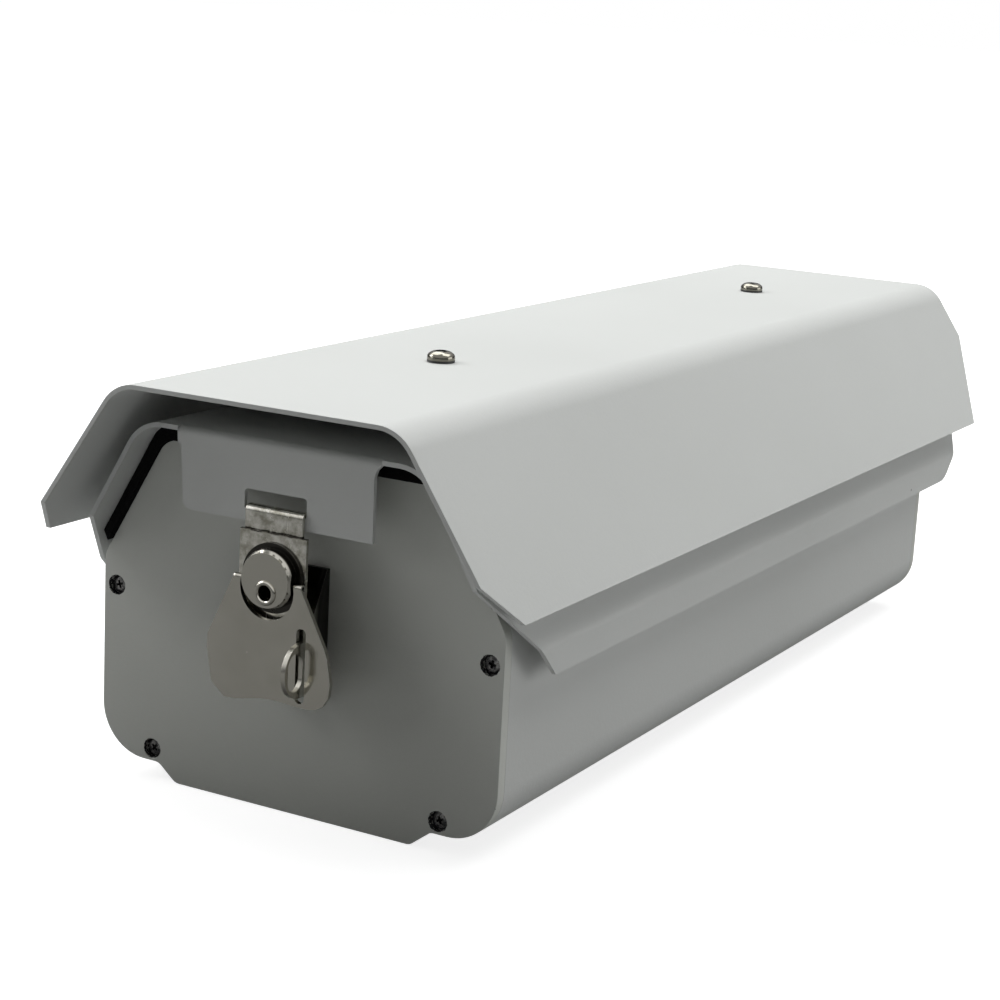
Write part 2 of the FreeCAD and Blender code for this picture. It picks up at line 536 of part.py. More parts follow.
# Angle bracket under the upper front screw, with a forward ear for the lid's stud.
def make_hinge_bracket(label, mirror):
    body = new_body(label)
    sign = "0 - " if mirror else ""
    inner = "(body_wide / 2 + ear_gap)"
    outer = "(body_wide / 2 + ear_gap + ear_thick)"
    level = "0 - " + outer if mirror else inner
    y, z = hinge_line()
    foot = outline_sketch(body, label + "_foot_outline", "XZ_Plane", FRONT, [
        (sign + "foot_inner", "crease_high - skirt_drop"), (sign + outer, "crease_high - skirt_drop"),
        (sign + outer, "crease_high"), (sign + "foot_inner", "crease_high")])
    pad(body, foot, label + "_foot", "foot_thick")
    web = outline_sketch(body, label + "_web_outline", "YZ_Plane", level, [
        (FRONT, "crease_high - skirt_drop"), (y, z + " - skirt_drop / 2"), (y, z + " + skirt_drop / 2"),
        (FRONT, "crease_high")])
    pad(body, web, label + "_web", "ear_thick")
    eye = circle_sketch(body, label + "_eye_outline", "YZ_Plane", level, [(y, z, "skirt_drop / 2")])
    pad(body, eye, label + "_eye", "ear_thick")
    bore = circle_sketch(body, label + "_bore_outline", "YZ_Plane", level, [(y, z, "stud_round + stud_gap")])
    pocket(body, bore, label + "_bore", "ear_thick")
    hole = circle_sketch(body, label + "_hole_outline", "XZ_Plane", FRONT,
                         [(sign + "upper_screw_side", "upper_screw_high", "screw_shank / 2 + hole_gap")])
    pocket(body, hole, label + "_hole", "foot_thick")
    return body


# Stud welded inside the lid's skirt, with a collar that rests against the bracket ear.
def make_hinge_stud(label, mirror):
    body = new_body(label)
    y, z = hinge_line()
    skirt = "(lid_wide / 2 - lid_thick)"
    tip = "(body_wide / 2 + stud_tip)"
    level = "0 - " + skirt if mirror else tip
    stem = circle_sketch(body, label + "_stem_outline", "YZ_Plane", level, [(y, z, "stud_round")])
    pad(body, stem, label + "_stem", "%s - %s" % (skirt, tip))
    near = "(body_wide / 2 + ear_gap + ear_thick + collar_gap)"
    level = "0 - " + skirt if mirror else near
    ring = circle_sketch(body, label + "_collar_outline", "YZ_Plane", level, [(y, z, "collar_round")])
    pad(body, ring, label + "_collar", "%s - %s" % (skirt, near))
    return body


def out(distance):
    return "(%s - (%s))" % (REAR, distance)


def side(distance):
    return "latch_side + (%s)" % distance


# Stainless latch base: web on the rear plate, two side walls, padlock ear joggled out of the right one.
def make_latch_base():
    body = new_body("latch_base")
    web = outline_sketch(body, "base_web_outline", "XZ_Plane", out("sheet"), [
        (side("base_half"), "base_low"), (side("base_half"), "base_top"),
        (side("0 - base_half"), "base_top"), (side("0 - base_half"), "base_low")])
    pad(body, web, "base_web", "sheet")
    rim = [(REAR, "base_low"), (out("wall_out"), "base_low"),
           (out("wall_out"), "base_top - wall_slant"), (out("sheet"), "base_top"), (REAR, "base_top")]
    left = outline_sketch(body, "left_wall_outline", "YZ_Plane", side("0 - base_half"), rim)
    pad(body, left, "left_wall", "staple_thick")
    right = outline_sketch(body, "right_wall_outline", "YZ_Plane", side("base_half - staple_thick"), rim)
    pad(body, right, "right_wall", "staple_thick")
    inside = side("base_half - staple_thick")
    tip = out("staple_out + staple_round")
    arm = outline_sketch(body, "ear_outline", "XY_Plane", "staple_middle - staple_round", [
        (inside, REAR), (side("base_half"), REAR), (side("base_half"), out("joggle_start")),
        (side("staple_side"), out("joggle_end")), (side("staple_side"), tip),
        (side("staple_side - staple_thick"), tip), (side("staple_side - staple_thick"), out("joggle_end")),
        (inside, out("joggle_start"))])
    feature = pad(body, arm, "padlock_ear", "2 * staple_round")
    end = -size("body_long") / 2 - size("staple_out") - size("staple_round")
    corners = edges_along_x(feature, end, size("staple_middle") - size("staple_round"))
    corners += edges_along_x(feature, end, size("staple_middle") + size("staple_round"))
    fillet(body, feature, corners, "0.98 * staple_round", "padlock_ear_tip")
    level = side("staple_side - staple_thick")
    ends = "((eye_tall - eye_wide) / 2)"
    eye = outline_sketch(body, "ear_eye_outline", "YZ_Plane", level, [
        (out("eye_out + eye_wide / 2"), "staple_middle - " + ends),
        (out("eye_out + eye_wide / 2"), "staple_middle + " + ends),
        (out("eye_out - eye_wide / 2"), "staple_middle + " + ends),
        (out("eye_out - eye_wide / 2"), "staple_middle - " + ends)])
    pocket(body, eye, "padlock_eye", "staple_thick")
    for name, sign in (("eye_low_end", "-"), ("eye_high_end", "+")):
        end = circle_sketch(body, name + "_outline", "YZ_Plane", level,
                            [(out("eye_out"), "staple_middle %s %s" % (sign, ends), "eye_wide / 2")])
        pocket(body, end, name, "staple_thick")
    holes = circle_sketch(body, "base_holes", "XZ_Plane", out("sheet"), [
        ("latch_side", "fixing_low", "fixing_round"), ("latch_side", "fixing_high", "fixing_round"),
        (side("pivot_aside"), "pivot_high", "rivet_round")])
    pocket(body, holes, "base_bores", "sheet")
    return body


# Link plate that the cam lifts; its jogged tongue hooks over the slot of the lid's tab.
def make_latch_link():
    body = new_body("latch_link")
    plate = outline_sketch(body, "link_outline", "XZ_Plane", out("link_out"), [
        (side("link_half"), "link_low"), (side("link_half"), "link_top"),
        (side("0 - link_half"), "link_top"), (side("0 - link_half"), "link_low")])
    pad(body, plate, "link_plate", "link_thick")
    tab_back = "(lid_rear_reach - lid_thick - hook_gap)"
    tongue = outline_sketch(body, "tongue_outline", "YZ_Plane", side("0 - tongue_aside - tongue_half"), [
        (out("link_out"), "link_top - tongue_lap"),
        (out("lid_rear_reach + hook_gap"), "link_top - tongue_lap"),
        (out("lid_rear_reach + hook_gap"), "hook_top - hook_bend"),
        (out(tab_back + " - link_thick"), "hook_top - hook_bend"),
        (out(tab_back + " - link_thick"), "hook_top"),
        (out("lid_rear_reach + hook_gap + link_thick"), "hook_top"),
        (out("lid_rear_reach + hook_gap + link_thick"), "link_top")])
    pad(body, tongue, "hook_tongue", "2 * tongue_half")
    lip = outline_sketch(body, "lip_outline", "YZ_Plane", side("0 - tongue_aside - tongue_half"), [
        (out(tab_back), "hook_top - hook_bend"), (out(tab_back), "hook_top - hook_drop"),
        (out(tab_back + " - link_thick"), "hook_top - hook_drop"),
        (out(tab_back + " - link_thick"), "hook_top - hook_bend")])
    feature = pad(body, lip, "hook_lip", "2 * tongue_half")
    front = -size("body_long") / 2 - size("lid_rear_reach") - size("hook_gap")
    rear = -size("body_long") / 2 - size("lid_rear_reach") + size("lid_thick") + size("hook_gap")
    inner = size("hook_top") - size("hook_bend")
    folds = edges_along_x(feature, front, inner) + edges_along_x(feature, rear, inner)
    feature = fillet(body, feature, folds, "hook_round - link_thick", "hook_fold_inside")
    folds = edges_along_x(feature, front - size("link_thick"), size("hook_top"))
    folds += edges_along_x(feature, rear + size("link_thick"), size("hook_top"))
    fillet(body, feature, folds, "hook_round", "hook_fold_outside")
    hole = circle_sketch(body, "link_eye", "XZ_Plane", out("link_out"),
                         [(side("boss_aside"), "pivot_high + cam_offset", "journal_round + journal_gap")])
    pocket(body, hole, "link_bore", "link_thick")
    return body


# Eccentric cam: journal inside the link, flange over it, and the boss that carries the wing.
def make_latch_cam():
    body = new_body("latch_cam")
    centre = (side("boss_aside"), "pivot_high + cam_offset")
    journal = circle_sketch(body, "journal_outline", "XZ_Plane", out("link_out + face_gap"),
                            [centre + ("journal_round",)])
    pad(body, journal, "cam_journal", "link_out + face_gap - journal_in")
    flange = circle_sketch(body, "flange_outline", "XZ_Plane", out("link_out + face_gap + flange_thick"),
                           [centre + ("flange_round",)])
    pad(body, flange, "cam_flange", "flange_thick")
    boss = circle_sketch(body, "boss_circle", "XZ_Plane", out("boss_out"), [centre + ("boss_round",)])
    feature = pad(body, boss, "cam_boss", "boss_out - link_out - face_gap - flange_thick")
    rim = [name for name in edges_on_face(feature, -size("body_long") / 2 - size("boss_out"))]
    bevel(body, feature, rim, "boss_edge", "boss_bevel")
    low = "pivot_high + cam_offset - 2 * boss_round"
    high = "pivot_high + cam_offset + 2 * boss_round"
    cuts = outline_sketch(body, "boss_sides", "XZ_Plane", out("boss_out"), [
        (side("boss_aside + boss_flat"), low), (side("2 * boss_round"), low),
        (side("2 * boss_round"), high), (side("boss_aside + boss_flat"), high)])
    add_outline(cuts, [(side("boss_aside - boss_flat"), low), (side("0 - 2 * boss_round"), low),
                       (side("0 - 2 * boss_round"), high), (side("boss_aside - boss_flat"), high)])
    pocket(body, cuts, "boss_flats", "boss_out - link_out - face_gap - flange_thick")
    bore = circle_sketch(body, "cam_bore_outline", "XZ_Plane", out("boss_out"),
                         [(side("pivot_aside"), "pivot_high", "rivet_round")])
    pocket(body, bore, "cam_bore", "boss_out - journal_in")
    seats = circle_sketch(body, "pin_seats", "YZ_Plane", side("boss_aside + boss_flat - pin_seat"),
                          [(out("wing_pivot_out"), "wing_pivot_high", "pin_round")])
    pocket(body, seats, "right_pin_seat", "pin_seat")
    seats = circle_sketch(body, "pin_seats_left", "YZ_Plane", side("boss_aside - boss_flat"),
                          [(out("wing_pivot_out"), "wing_pivot_high", "pin_round")])
    pocket(body, seats, "left_pin_seat", "pin_seat")
    return body


# Edges of a feature that lie wholly on the plane at one Y.
def edges_on_face(feature, y):
    picked = []
    for number, edge in enumerate(feature.Shape.Edges, start=1):
        box = edge.BoundBox
        if abs(box.YMin - y) < 1e-3 and abs(box.YMax - y) < 1e-3:
            picked.append("Edge%d" % number)
    return picked


# Hollow rivet that holds the cam to the base.
def make_latch_rivet():
    body = new_body("latch_rivet")
    spot = (side("pivot_aside"), "pivot_high")
    stem = circle_sketch(body, "rivet_outline", "XZ_Plane", out("boss_out + rivet_lip_thick"),
                         [spot + ("rivet_round",)])
    pad(body, stem, "rivet_tube", "boss_out + rivet_lip_thick")
    ring = circle_sketch(body, "rivet_lip_outline", "XZ_Plane", out("boss_out + rivet_lip_thick"),
                         [spot + ("rivet_lip",)])
    feature = pad(body, ring, "rivet_rolled_lip", "rivet_lip_thick")
    rim = edges_on_face(feature, -size("body_long") / 2 - size("boss_out") - size("rivet_lip_thick"))
    bevel(body, feature, rim, "0.5 * rivet_lip_thick", "rivet_lip_bevel")
    bore = circle_sketch(body, "rivet_bore_outline", "XZ_Plane", out("boss_out + rivet_lip_thick"),
                         [spot + ("rivet_bore",)])
    pocket(body, bore, "rivet_hole", "boss_out + rivet_lip_thick")
    return body


# Outline of the butterfly wing, as distances right of the latch's middle and above its pivot.
WING = [(-12, 2.8), (-21, -16.7), (-21.2, -21), (-19.3, -31.9), (-14.2, -36.1), (-9.3, -36),
        (-2.9, -34.3), (2.6, -33.6), (7.5, -33.6), (15.6, -34.5), (19.6, -33.6), (22, -32.2),
        (24, -29), (24.5, -24.7), (23.2, -17.2), (22, -14.2), (13, 2.8)]


# Folded wing of the latch, on two stub pins of the cam's boss.
def make_latch_wing():
    body = new_body("latch_wing")
    outer = outline_sketch(body, "wing_outline", "XZ_Plane", out("wing_out"),
                           [(side("0 %s %s" % ("-" if a < 0 else "+", abs(a))),
                             "pivot_high %s %s" % ("-" if b < 0 else "+", abs(b))) for a, b in WING])
    feature = pad(body, outer, "wing_plate", "sheet")
    feature = round_corners(body, feature, outer, [1, 2, 3, 4, 10, 11, 12, 13, 14, 15], "2", "wing_corners")
    span = "knuckle_outer - knuckle_inner"
    spot = [(out("wing_pivot_out"), "wing_pivot_high", "knuckle_round")]
    right = circle_sketch(body, "right_knuckle_outline", "YZ_Plane", side("boss_aside + knuckle_inner"), spot)
    pad(body, right, "right_knuckle", span)
    left = circle_sketch(body, "left_knuckle_outline", "YZ_Plane", side("boss_aside - knuckle_outer"), spot)
    pad(body, left, "left_knuckle", span)
    hollow = circle_sketch(body, "wing_cut_outline", "XZ_Plane", out("wing_out + knuckle_round"),
                           [(side("boss_aside"), "wing_cut_high", "wing_cut")])
    pocket(body, hollow, "wing_cutout", "4 * sheet")
    middle = side("wing_slot_side")
    slot = outline_sketch(body, "wing_slot_outline", "XZ_Plane", out("wing_out"), [
        (middle + " + wing_slot_wide / 2", "wing_slot_low"),
        (middle + " + wing_slot_wide / 2", "wing_slot_low + wing_slot_tall"),
        (middle + " - wing_slot_wide / 2", "wing_slot_low + wing_slot_tall"),
        (middle + " - wing_slot_wide / 2", "wing_slot_low")])
    feature = pocket(body, slot, "wing_slot", "sheet")
    round_corners(body, feature, slot, [0, 1, 2, 3], "0.45 * wing_slot_wide", "wing_slot_ends")
    bore = circle_sketch(body, "wing_bore_outline", "YZ_Plane", side("0 - 2 * knuckle_outer"),
                         [(out("wing_pivot_out"), "wing_pivot_high", "pin_round + pin_gap")])
    pocket(body, bore, "wing_bores", "4 * knuckle_outer")
    return body


# Round bars and screws, drawn along one axis from a level; rows are (u, v, radius, from, length).
def make_rods(label, plane, rows):
    body = new_body(label)
    for number, (across, along, radius, level, length) in enumerate(rows, start=1):
        ring = circle_sketch(body, "%s_ring_%d" % (label, number), plane, level, [(across, along, radius)])
        pad(body, ring, "%s_rod_%d" % (label, number), length)
    return body


# Screws of one pattern: each spot gets a shank and a head on the outer side.
def screw_rows(spots, seat, shank, long, head, tall, outward):
    rows = []
    for across, along in spots:
        if outward < 0:
            rows.append((across, along, shank, seat, long))
            rows.append((across, along, head, "%s - %s" % (seat, tall), tall))
        else:
            rows.append((across, along, shank, "%s - %s" % (seat, long), long))
            rows.append((across, along, head, seat, tall))
    return rows


# Both sun shield bolts with everything threaded on them.
def make_shield_fixings():
    inside = "(shield_top - shield_thick)"
    under = "(lid_top - lid_thick)"
    seat = "(shield_top + washer_thick)"
    drop = "(%s - %s + nut_tall + bolt_proud)" % (seat, under)
    spacers = make_rods("shield_spacers", "XY_Plane",
                        [("0", y, "spacer_round", "lid_top", inside + " - lid_top") for y in SHIELD_BOLTS])
    washers = make_rods("shield_washers", "XY_Plane",
                        [("0", y, "washer_round", "shield_top", "washer_thick") for y in SHIELD_BOLTS])
    for body in (spacers, washers):
        rings = circle_sketch(body, body.Label + "_bores", "XY_Plane", "lid_top - lid_thick",
                              [("0", y, "bolt_round + hole_gap") for y in SHIELD_BOLTS])
        pocket(body, rings, body.Label + "_bore", "2 * lid_top")
    screws = make_rods("shield_screws", "XY_Plane",
                       screw_rows([("0", y) for y in SHIELD_BOLTS], seat, "bolt_round", drop,
                                  "bolt_head", "bolt_head_tall", 1))
    top = size("shield_top") + size("washer_thick") + size("bolt_head_tall")
    rims = [name for name in top_edges(screws.Tip, top)]
    bevel(screws, screws.Tip, rims, "0.5 * bolt_head_tall", "pan_heads")
    nuts = new_body("shield_nuts")
    level = under + " - nut_tall"
    hexes = new_sketch(nuts, "nut_outlines", "XY_Plane", level)
    wide = "(nut_wide / 2)"
    for y in SHIELD_BOLTS:
        add_outline(hexes, [("%s * %s" % (wide, a), "%s + %s * %s" % (y, wide, b)) for a, b in (
            ("1", "tan(30)"), ("0", "1 / cos(30)"), ("(0 - 1)", "tan(30)"),
            ("(0 - 1)", "(0 - tan(30))"), ("0", "(0 - 1 / cos(30))"), ("1", "(0 - tan(30))"))])
    doc.recompute()
    pad(nuts, hexes, "nut_blocks", "nut_tall")
    bores = circle_sketch(nuts, "nut_bores", "XY_Plane", level, [("0", y, "bolt_round") for y in SHIELD_BOLTS])
    pocket(nuts, bores, "nut_threads", "nut_tall")
    return [spacers, washers, screws, nuts]


def top_edges(feature, z):
    picked = []
    for number, edge in enumerate(feature.Shape.Edges, start=1):
        box = edge.BoundBox
        if abs(box.ZMin - z) < 1e-3 and abs(box.ZMax - z) < 1e-3:
            picked.append("Edge%d" % number)
    return picked


RAIL_SPOTS = [("%s(rail_wide / 2 + rail_foot / 2)" % a, "rail_ahead") for a in ("", "0 - ")]


# Tapped steel plate on the floor, under which the wall bracket is bolted.
def make_mount_plate():
    body = new_body("mount_plate")
    half = "(bracket_wide / 2 + mount_plate_rim)"
    length = "(bracket_long / 2 + mount_plate_rim)"
    edge = outline_sketch(body, "mount_plate_outline", "XY_Plane", "floor_thick", mirrored(
        [(half, "0 - " + length), (half, length)]))
    pad(body, edge, "mount_plate_block", "mount_plate_thick")
    holes = [("%sbracket_wide / 2" % a, "%sbracket_long / 2" % b, "bracket_hole")
             for a in ("", "0 - ") for b in ("", "0 - ")]
    holes += [(across, along, "fixing_round") for across, along in RAIL_SPOTS]
    drilled = circle_sketch(body, "mount_plate_holes", "XY_Plane", "floor_thick", holes)
    pocket(body, drilled, "mount_plate_threads", "mount_plate_thick")
    return body


# Slotted rail for the camera, folded down to two flanges that are screwed to the mount plate.
def make_rail():
    half = "(rail_wide / 2)"
    seat = "(floor_thick + mount_plate_thick)"
    start = "(rail_ahead - rail_long / 2)"
    rail = new_body("camera_rail")
    edge = outline_sketch(rail, "rail_outline", "XZ_Plane", start, mirrored(
        [(half + " + rail_foot", seat), (half + " + rail_foot", seat + " + rail_thick"),
         (half, seat + " + rail_thick"), (half, "rail_high + rail_thick")]))
    pad(rail, edge, "rail_block", "rail_long")
    inside = outline_sketch(rail, "rail_inside", "XZ_Plane", start, mirrored(
        [(half + " - rail_thick", seat), (half + " - rail_thick", "rail_high")]))
    pocket(rail, inside, "rail_channel", "rail_long")
    slot = outline_sketch(rail, "rail_slot_outline", "XY_Plane", "rail_high", mirrored(
        [("rail_slot_wide / 2", "rail_ahead - rail_slot_long / 2"),
         ("rail_slot_wide / 2", "rail_ahead + rail_slot_long / 2")]))
    feature = pocket(rail, slot, "rail_slot", "rail_thick")
    round_corners(rail, feature, slot, [0, 1, 2, 3], "0.49 * rail_slot_wide", "rail_slot_ends")
    drilled = circle_sketch(rail, "rail_holes", "XY_Plane", seat,
                            [(a, y, "fixing_round + hole_gap") for a, y in RAIL_SPOTS])
    pocket(rail, drilled, "rail_bores", "rail_thick")
    screws = make_rods("rail_screws", "XY_Plane", screw_rows(
        RAIL_SPOTS, "(%s + rail_thick)" % seat, "fixing_round", "(rail_thick + mount_plate_thick)",
        "fixing_head", "fixing_head_tall", 1))
    knob = make_rods("camera_screw", "XY_Plane", [
        ("0", "rail_ahead", "knob_round", "rail_high - knob_tall", "knob_tall"),
        ("0", "rail_ahead", "camera_thread", "rail_high", "camera_screw_tall")])
    return [rail, screws, knob]


def make_screws():
    rear = make_rods("rear_plate_screws", "XZ_Plane", screw_rows(
        SCREW_SPOTS, "(%s + pocket_deep)" % REAR, "screw_shank / 2", "screw_long",
        "screw_head / 2", "screw_head_tall", -1))
    upper = [spot for spot in SCREW_SPOTS if spot[1] == "upper_screw_high"]
    lower = [spot for spot in SCREW_SPOTS if spot[1] == "lower_screw_high"]
    front = make_rods("front_plate_screws", "XZ_Plane", screw_rows(
        upper, "(%s + foot_thick)" % FRONT, "screw_shank / 2", "screw_long", "screw_head / 2",
        "screw_head_tall", 1) + screw_rows(
        lower, "(%s - pocket_deep)" % FRONT, "screw_shank / 2", "screw_long", "screw_head / 2",
        "screw_head_tall", 1))
    back = "(%s - plate_thick - gasket_thick - glass_thick - retainer_back)" % FRONT
    small = make_rods("retainer_screws", "XZ_Plane", screw_rows(
        RETAINER_SPOTS, back, "retainer_screw / 2",
        "(retainer_back + glass_thick + gasket_thick + plate_thick / 2)",
        "retainer_head / 2", "retainer_screw / 2", -1))
    fixings = make_rods("latch_screws", "XZ_Plane", screw_rows(
        [("latch_side", "fixing_low"), ("latch_side", "fixing_high")], out("sheet"),
        "fixing_round", "sheet + plate_thick", "fixing_head", "fixing_head_tall", -1))
    pins = make_rods("wing_pins", "YZ_Plane", [
        (out("wing_pivot_out"), "wing_pivot_high", "pin_round", side("boss_aside + boss_flat - pin_seat"),
         "knuckle_outer + pin_gap - boss_flat + pin_seat"),
        (out("wing_pivot_out"), "wing_pivot_high", "pin_round", side("boss_aside - knuckle_outer - pin_gap"),
         "knuckle_outer + pin_gap - boss_flat + pin_seat")])
    return [rear, front, small, fixings, pins]


nodes = [make_tray(), make_rear_plate(), make_front_plate()]
nodes += make_window()
nodes += [make_lid(), make_rear_seal(), make_side_seals(), make_front_seal(), make_shield()]
nodes += make_shield_fixings()
nodes += [make_hinge_bracket("hinge_bracket_left", True), make_hinge_bracket("hinge_bracket_right", False)]
nodes += [make_hinge_stud("hinge_stud_left", True), make_hinge_stud("hinge_stud_right", False)]
nodes += [make_latch_base(), make_latch_link(), make_latch_cam(), make_latch_rivet(), make_latch_wing()]
nodes += make_screws()
nodes += [make_mount_plate()]
nodes += make_rail()

doc.recompute()
faults = []
for item in doc.Objects:
    if "Invalid" in item.State or "Error" in item.State:
        faults.append("%s: %s" % (item.Name, item.State))
for body in nodes:
    if body.Shape.isNull() or not body.Shape.isValid() or body.Shape.Volume <= 0:
        faults.append("%s has no sound shape" % body.Label)
if faults:
    raise RuntimeError("; ".join(faults))

os.makedirs("parts", exist_ok=True)
for body in nodes:
    body.Shape.exportStep(os.path.join("parts", body.Label + ".step"))
    box = body.Shape.BoundBox
    print("%-22s %2d solids %10.1f mm3  x %7.2f %7.2f  y %8.2f %8.2f  z %7.2f %7.2f" % (
        body.Label, len(body.Shape.Solids), body.Shape.Volume,
        box.XMin, box.XMax, box.YMin, box.YMax, box.ZMin, box.ZMax))
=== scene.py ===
import math

import bmesh
import bpy
from mathutils import Matrix, Vector


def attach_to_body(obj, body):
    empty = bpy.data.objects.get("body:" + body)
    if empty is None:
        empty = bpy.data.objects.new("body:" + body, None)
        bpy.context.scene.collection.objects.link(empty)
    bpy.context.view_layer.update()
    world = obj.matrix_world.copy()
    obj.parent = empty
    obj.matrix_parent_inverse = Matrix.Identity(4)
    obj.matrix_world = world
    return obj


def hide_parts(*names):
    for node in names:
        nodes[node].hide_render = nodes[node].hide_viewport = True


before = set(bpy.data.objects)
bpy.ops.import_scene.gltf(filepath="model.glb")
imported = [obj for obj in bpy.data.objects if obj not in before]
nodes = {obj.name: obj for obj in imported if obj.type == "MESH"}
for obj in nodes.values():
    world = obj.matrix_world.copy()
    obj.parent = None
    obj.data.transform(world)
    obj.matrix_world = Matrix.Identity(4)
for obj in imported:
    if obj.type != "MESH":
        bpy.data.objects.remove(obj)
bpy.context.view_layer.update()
bpy.ops.object.select_all(action="DESELECT")


# Camera of the photograph. It stands behind and to the right of the latch end,
# a little above it, and leans slightly to one side as a hand-held camera does.
camera_place = Vector((0.3767, -0.7448, 0.2584))
turn, rise, lean = math.radians(28.516), math.radians(13.061), math.radians(3.107)
back = Vector((math.sin(turn) * math.cos(rise), -math.cos(turn) * math.cos(rise), math.sin(rise)))
level_right = (-back).cross(Vector((0, 0, 1))).normalized()
level_up = level_right.cross(-back)
right = math.cos(lean) * level_right + math.sin(lean) * level_up
up = math.cos(lean) * level_up - math.sin(lean) * level_right
camera_data = bpy.data.cameras.new("photo_camera")
sensor, focal_pixels, photo_pixels = 36, 2239.46, 1000
camera_data.sensor_width = sensor
camera_data.lens = focal_pixels * sensor / photo_pixels
camera_data.shift_x = -0.00929
camera_data.shift_y = 0.00866
camera_data.clip_start = 0.05
camera_data.clip_end = 50
camera = bpy.data.objects.new("photo_camera", camera_data)
bpy.context.scene.collection.objects.link(camera)
camera.matrix_world = Matrix.Translation(camera_place) @ Matrix((right, up, back)).transposed().to_4x4()
bpy.context.scene.camera = camera


# Tray of the housing: an aluminium extrusion, sawn to length, drilled in its floor and
# powder coated light grey. The baked coat has a fine orange peel and a dull sheen.
class Wire:
    def __init__(self, tree, socket=None):
        self.tree = tree
        self.socket = socket

    def node(self, kind, settings, inputs, output=0):
        made = self.tree.nodes.new(kind)
        for name, value in settings.items():
            setattr(made, name, value)
        for name, value in inputs.items():
            if isinstance(value, Wire):
                self.tree.links.new(value.socket, made.inputs[name])
            else:
                made.inputs[name].default_value = value
        return Wire(self.tree, made.outputs[output])

    def math(self, operation, first, second):
        return self.node("ShaderNodeMath", {"operation": operation}, {0: first, 1: second})

    def __add__(self, other):
        return self.math("ADD", self, other)

    def __radd__(self, other):
        return self.math("ADD", other, self)

    def __sub__(self, other):
        return self.math("SUBTRACT", self, other)

    def __rsub__(self, other):
        return self.math("SUBTRACT", other, self)

    def __mul__(self, other):
        return self.math("MULTIPLY", self, other)

    def __rmul__(self, other):
        return self.math("MULTIPLY", other, self)

    def __gt__(self, other):
        return self.math("GREATER_THAN", self, other)


def new_finish(name, roughness, metallic=0.0):
    material = bpy.data.materials.new(name)
    material.use_nodes = True
    tree = material.node_tree
    shader = tree.nodes["Principled BSDF"]
    shader.inputs["Roughness"].default_value = roughness
    shader.inputs["Metallic"].default_value = metallic
    start = Wire(tree)
    place = start.node("ShaderNodeTexCoord", {}, {}, "Object")
    return material, tree, shader, start, place


def noise(start, place, scale, detail=3.0, rough=0.5):
    return start.node("ShaderNodeTexNoise", {},
                      {"Vector": place, "Scale": scale, "Detail": detail, "Roughness": rough})


def shade(start, dark, light, amount):
    dark, light = [colour + (1,) if isinstance(colour, tuple) else colour for colour in (dark, light)]
    return start.node("ShaderNodeMix", {"data_type": "RGBA"}, {0: amount, 6: dark, 7: light}, 2)


def attach(tree, shader, colour=None, roughness=None, height=None, depth=0.0):
    if colour is not None:
        tree.links.new(colour.socket, shader.inputs["Base Color"])
    if roughness is not None:
        tree.links.new(roughness.socket, shader.inputs["Roughness"])
    if height is not None:
        bump = Wire(tree).node("ShaderNodeBump", {}, {"Height": height, "Distance": depth, "Strength": 1.0})
        tree.links.new(bump.socket, shader.inputs["Normal"])


def powder_coat(name, chip=None, shaded_pockets=(), warm_shade_tint=1.0):
    chip_reach, pocket_shade_reach = 0.0009, 0.0038
    bare_metal, painted_pocket_shade = (0.16, 0.16, 0.15), (0.025, 0.025, 0.025)
    material, tree, shader, start, place = new_finish(name, 0.5)
    peel = noise(start, place, 700, 2)
    speck = noise(start, place, 2400, 2)
    cloud = noise(start, place, 7, 4)
    patchy = 0.35 * speck + 0.65 * cloud
    # A warm_shade_tint below 1 makes a warmer copy of the coat: a painted tint of the light in shade.
    colour = shade(start, (0.46, 0.474, 0.458 * warm_shade_tint), (0.54, 0.553, 0.54 * warm_shade_tint), patchy)
    if chip:
        away = start.node("ShaderNodeVectorMath", {"operation": "DISTANCE"}, {0: place, 1: chip}, "Value")
        colour = shade(start, bare_metal, colour, (away + 0.0008 * peel) > chip_reach)
    # Painted shade: the coat goes near-black inside each screw pocket, with a ragged edge.
    for x, z in shaded_pockets:
        flat = start.node("ShaderNodeVectorMath", {"operation": "ABSOLUTE"}, {0: place})
        flat = start.node("ShaderNodeVectorMath", {"operation": "MULTIPLY"}, {0: flat, 1: (1, 0, 1)})
        away = start.node("ShaderNodeVectorMath", {"operation": "DISTANCE"}, {0: flat, 1: (x, 0, z)}, "Value")
        ragged = noise(start, place, 1100, 2)
        colour = shade(start, painted_pocket_shade, colour, (away + 0.0009 * ragged) > pocket_shade_reach)
    attach(tree, shader, colour, 0.40 + 0.14 * cloud + 0.06 * speck, peel + 0.5 * speck, 0.00005)
    shader.inputs["Specular IOR Level"].default_value = 0.45
    return material


def copy_of(node):
    bpy.ops.object.select_all(action="DESELECT")
    piece = bpy.data.objects.new(node + "_piece", nodes[node].data.copy())
    bpy.context.scene.collection.objects.link(piece)
    bpy.context.view_layer.objects.active = piece
    piece.select_set(True)
    bpy.ops.object.mode_set(mode="EDIT")
    bpy.ops.mesh.select_all(action="SELECT")
    bpy.ops.mesh.remove_doubles(threshold=0.000002)
    bpy.ops.mesh.dissolve_limited(angle_limit=math.radians(0.4))
    bpy.ops.object.mode_set(mode="OBJECT")
    bpy.ops.mesh.customdata_custom_splitnormals_clear()
    return piece


def add_modifier(piece, kind, settings):
    bpy.context.view_layer.objects.active = piece
    modifier = piece.modifiers.new(kind.lower(), kind)
    for name, value in settings.items():
        setattr(modifier, name, value)
    bpy.ops.object.modifier_apply(modifier=modifier.name)


def smooth(piece, angle):
    bpy.ops.object.select_all(action="DESELECT")
    piece.select_set(True)
    bpy.context.view_layer.objects.active = piece
    bpy.ops.object.shade_smooth_by_angle(angle=math.radians(angle))
    add_modifier(piece, "WEIGHTED_NORMAL", {"keep_sharp": True, "weight": 60})


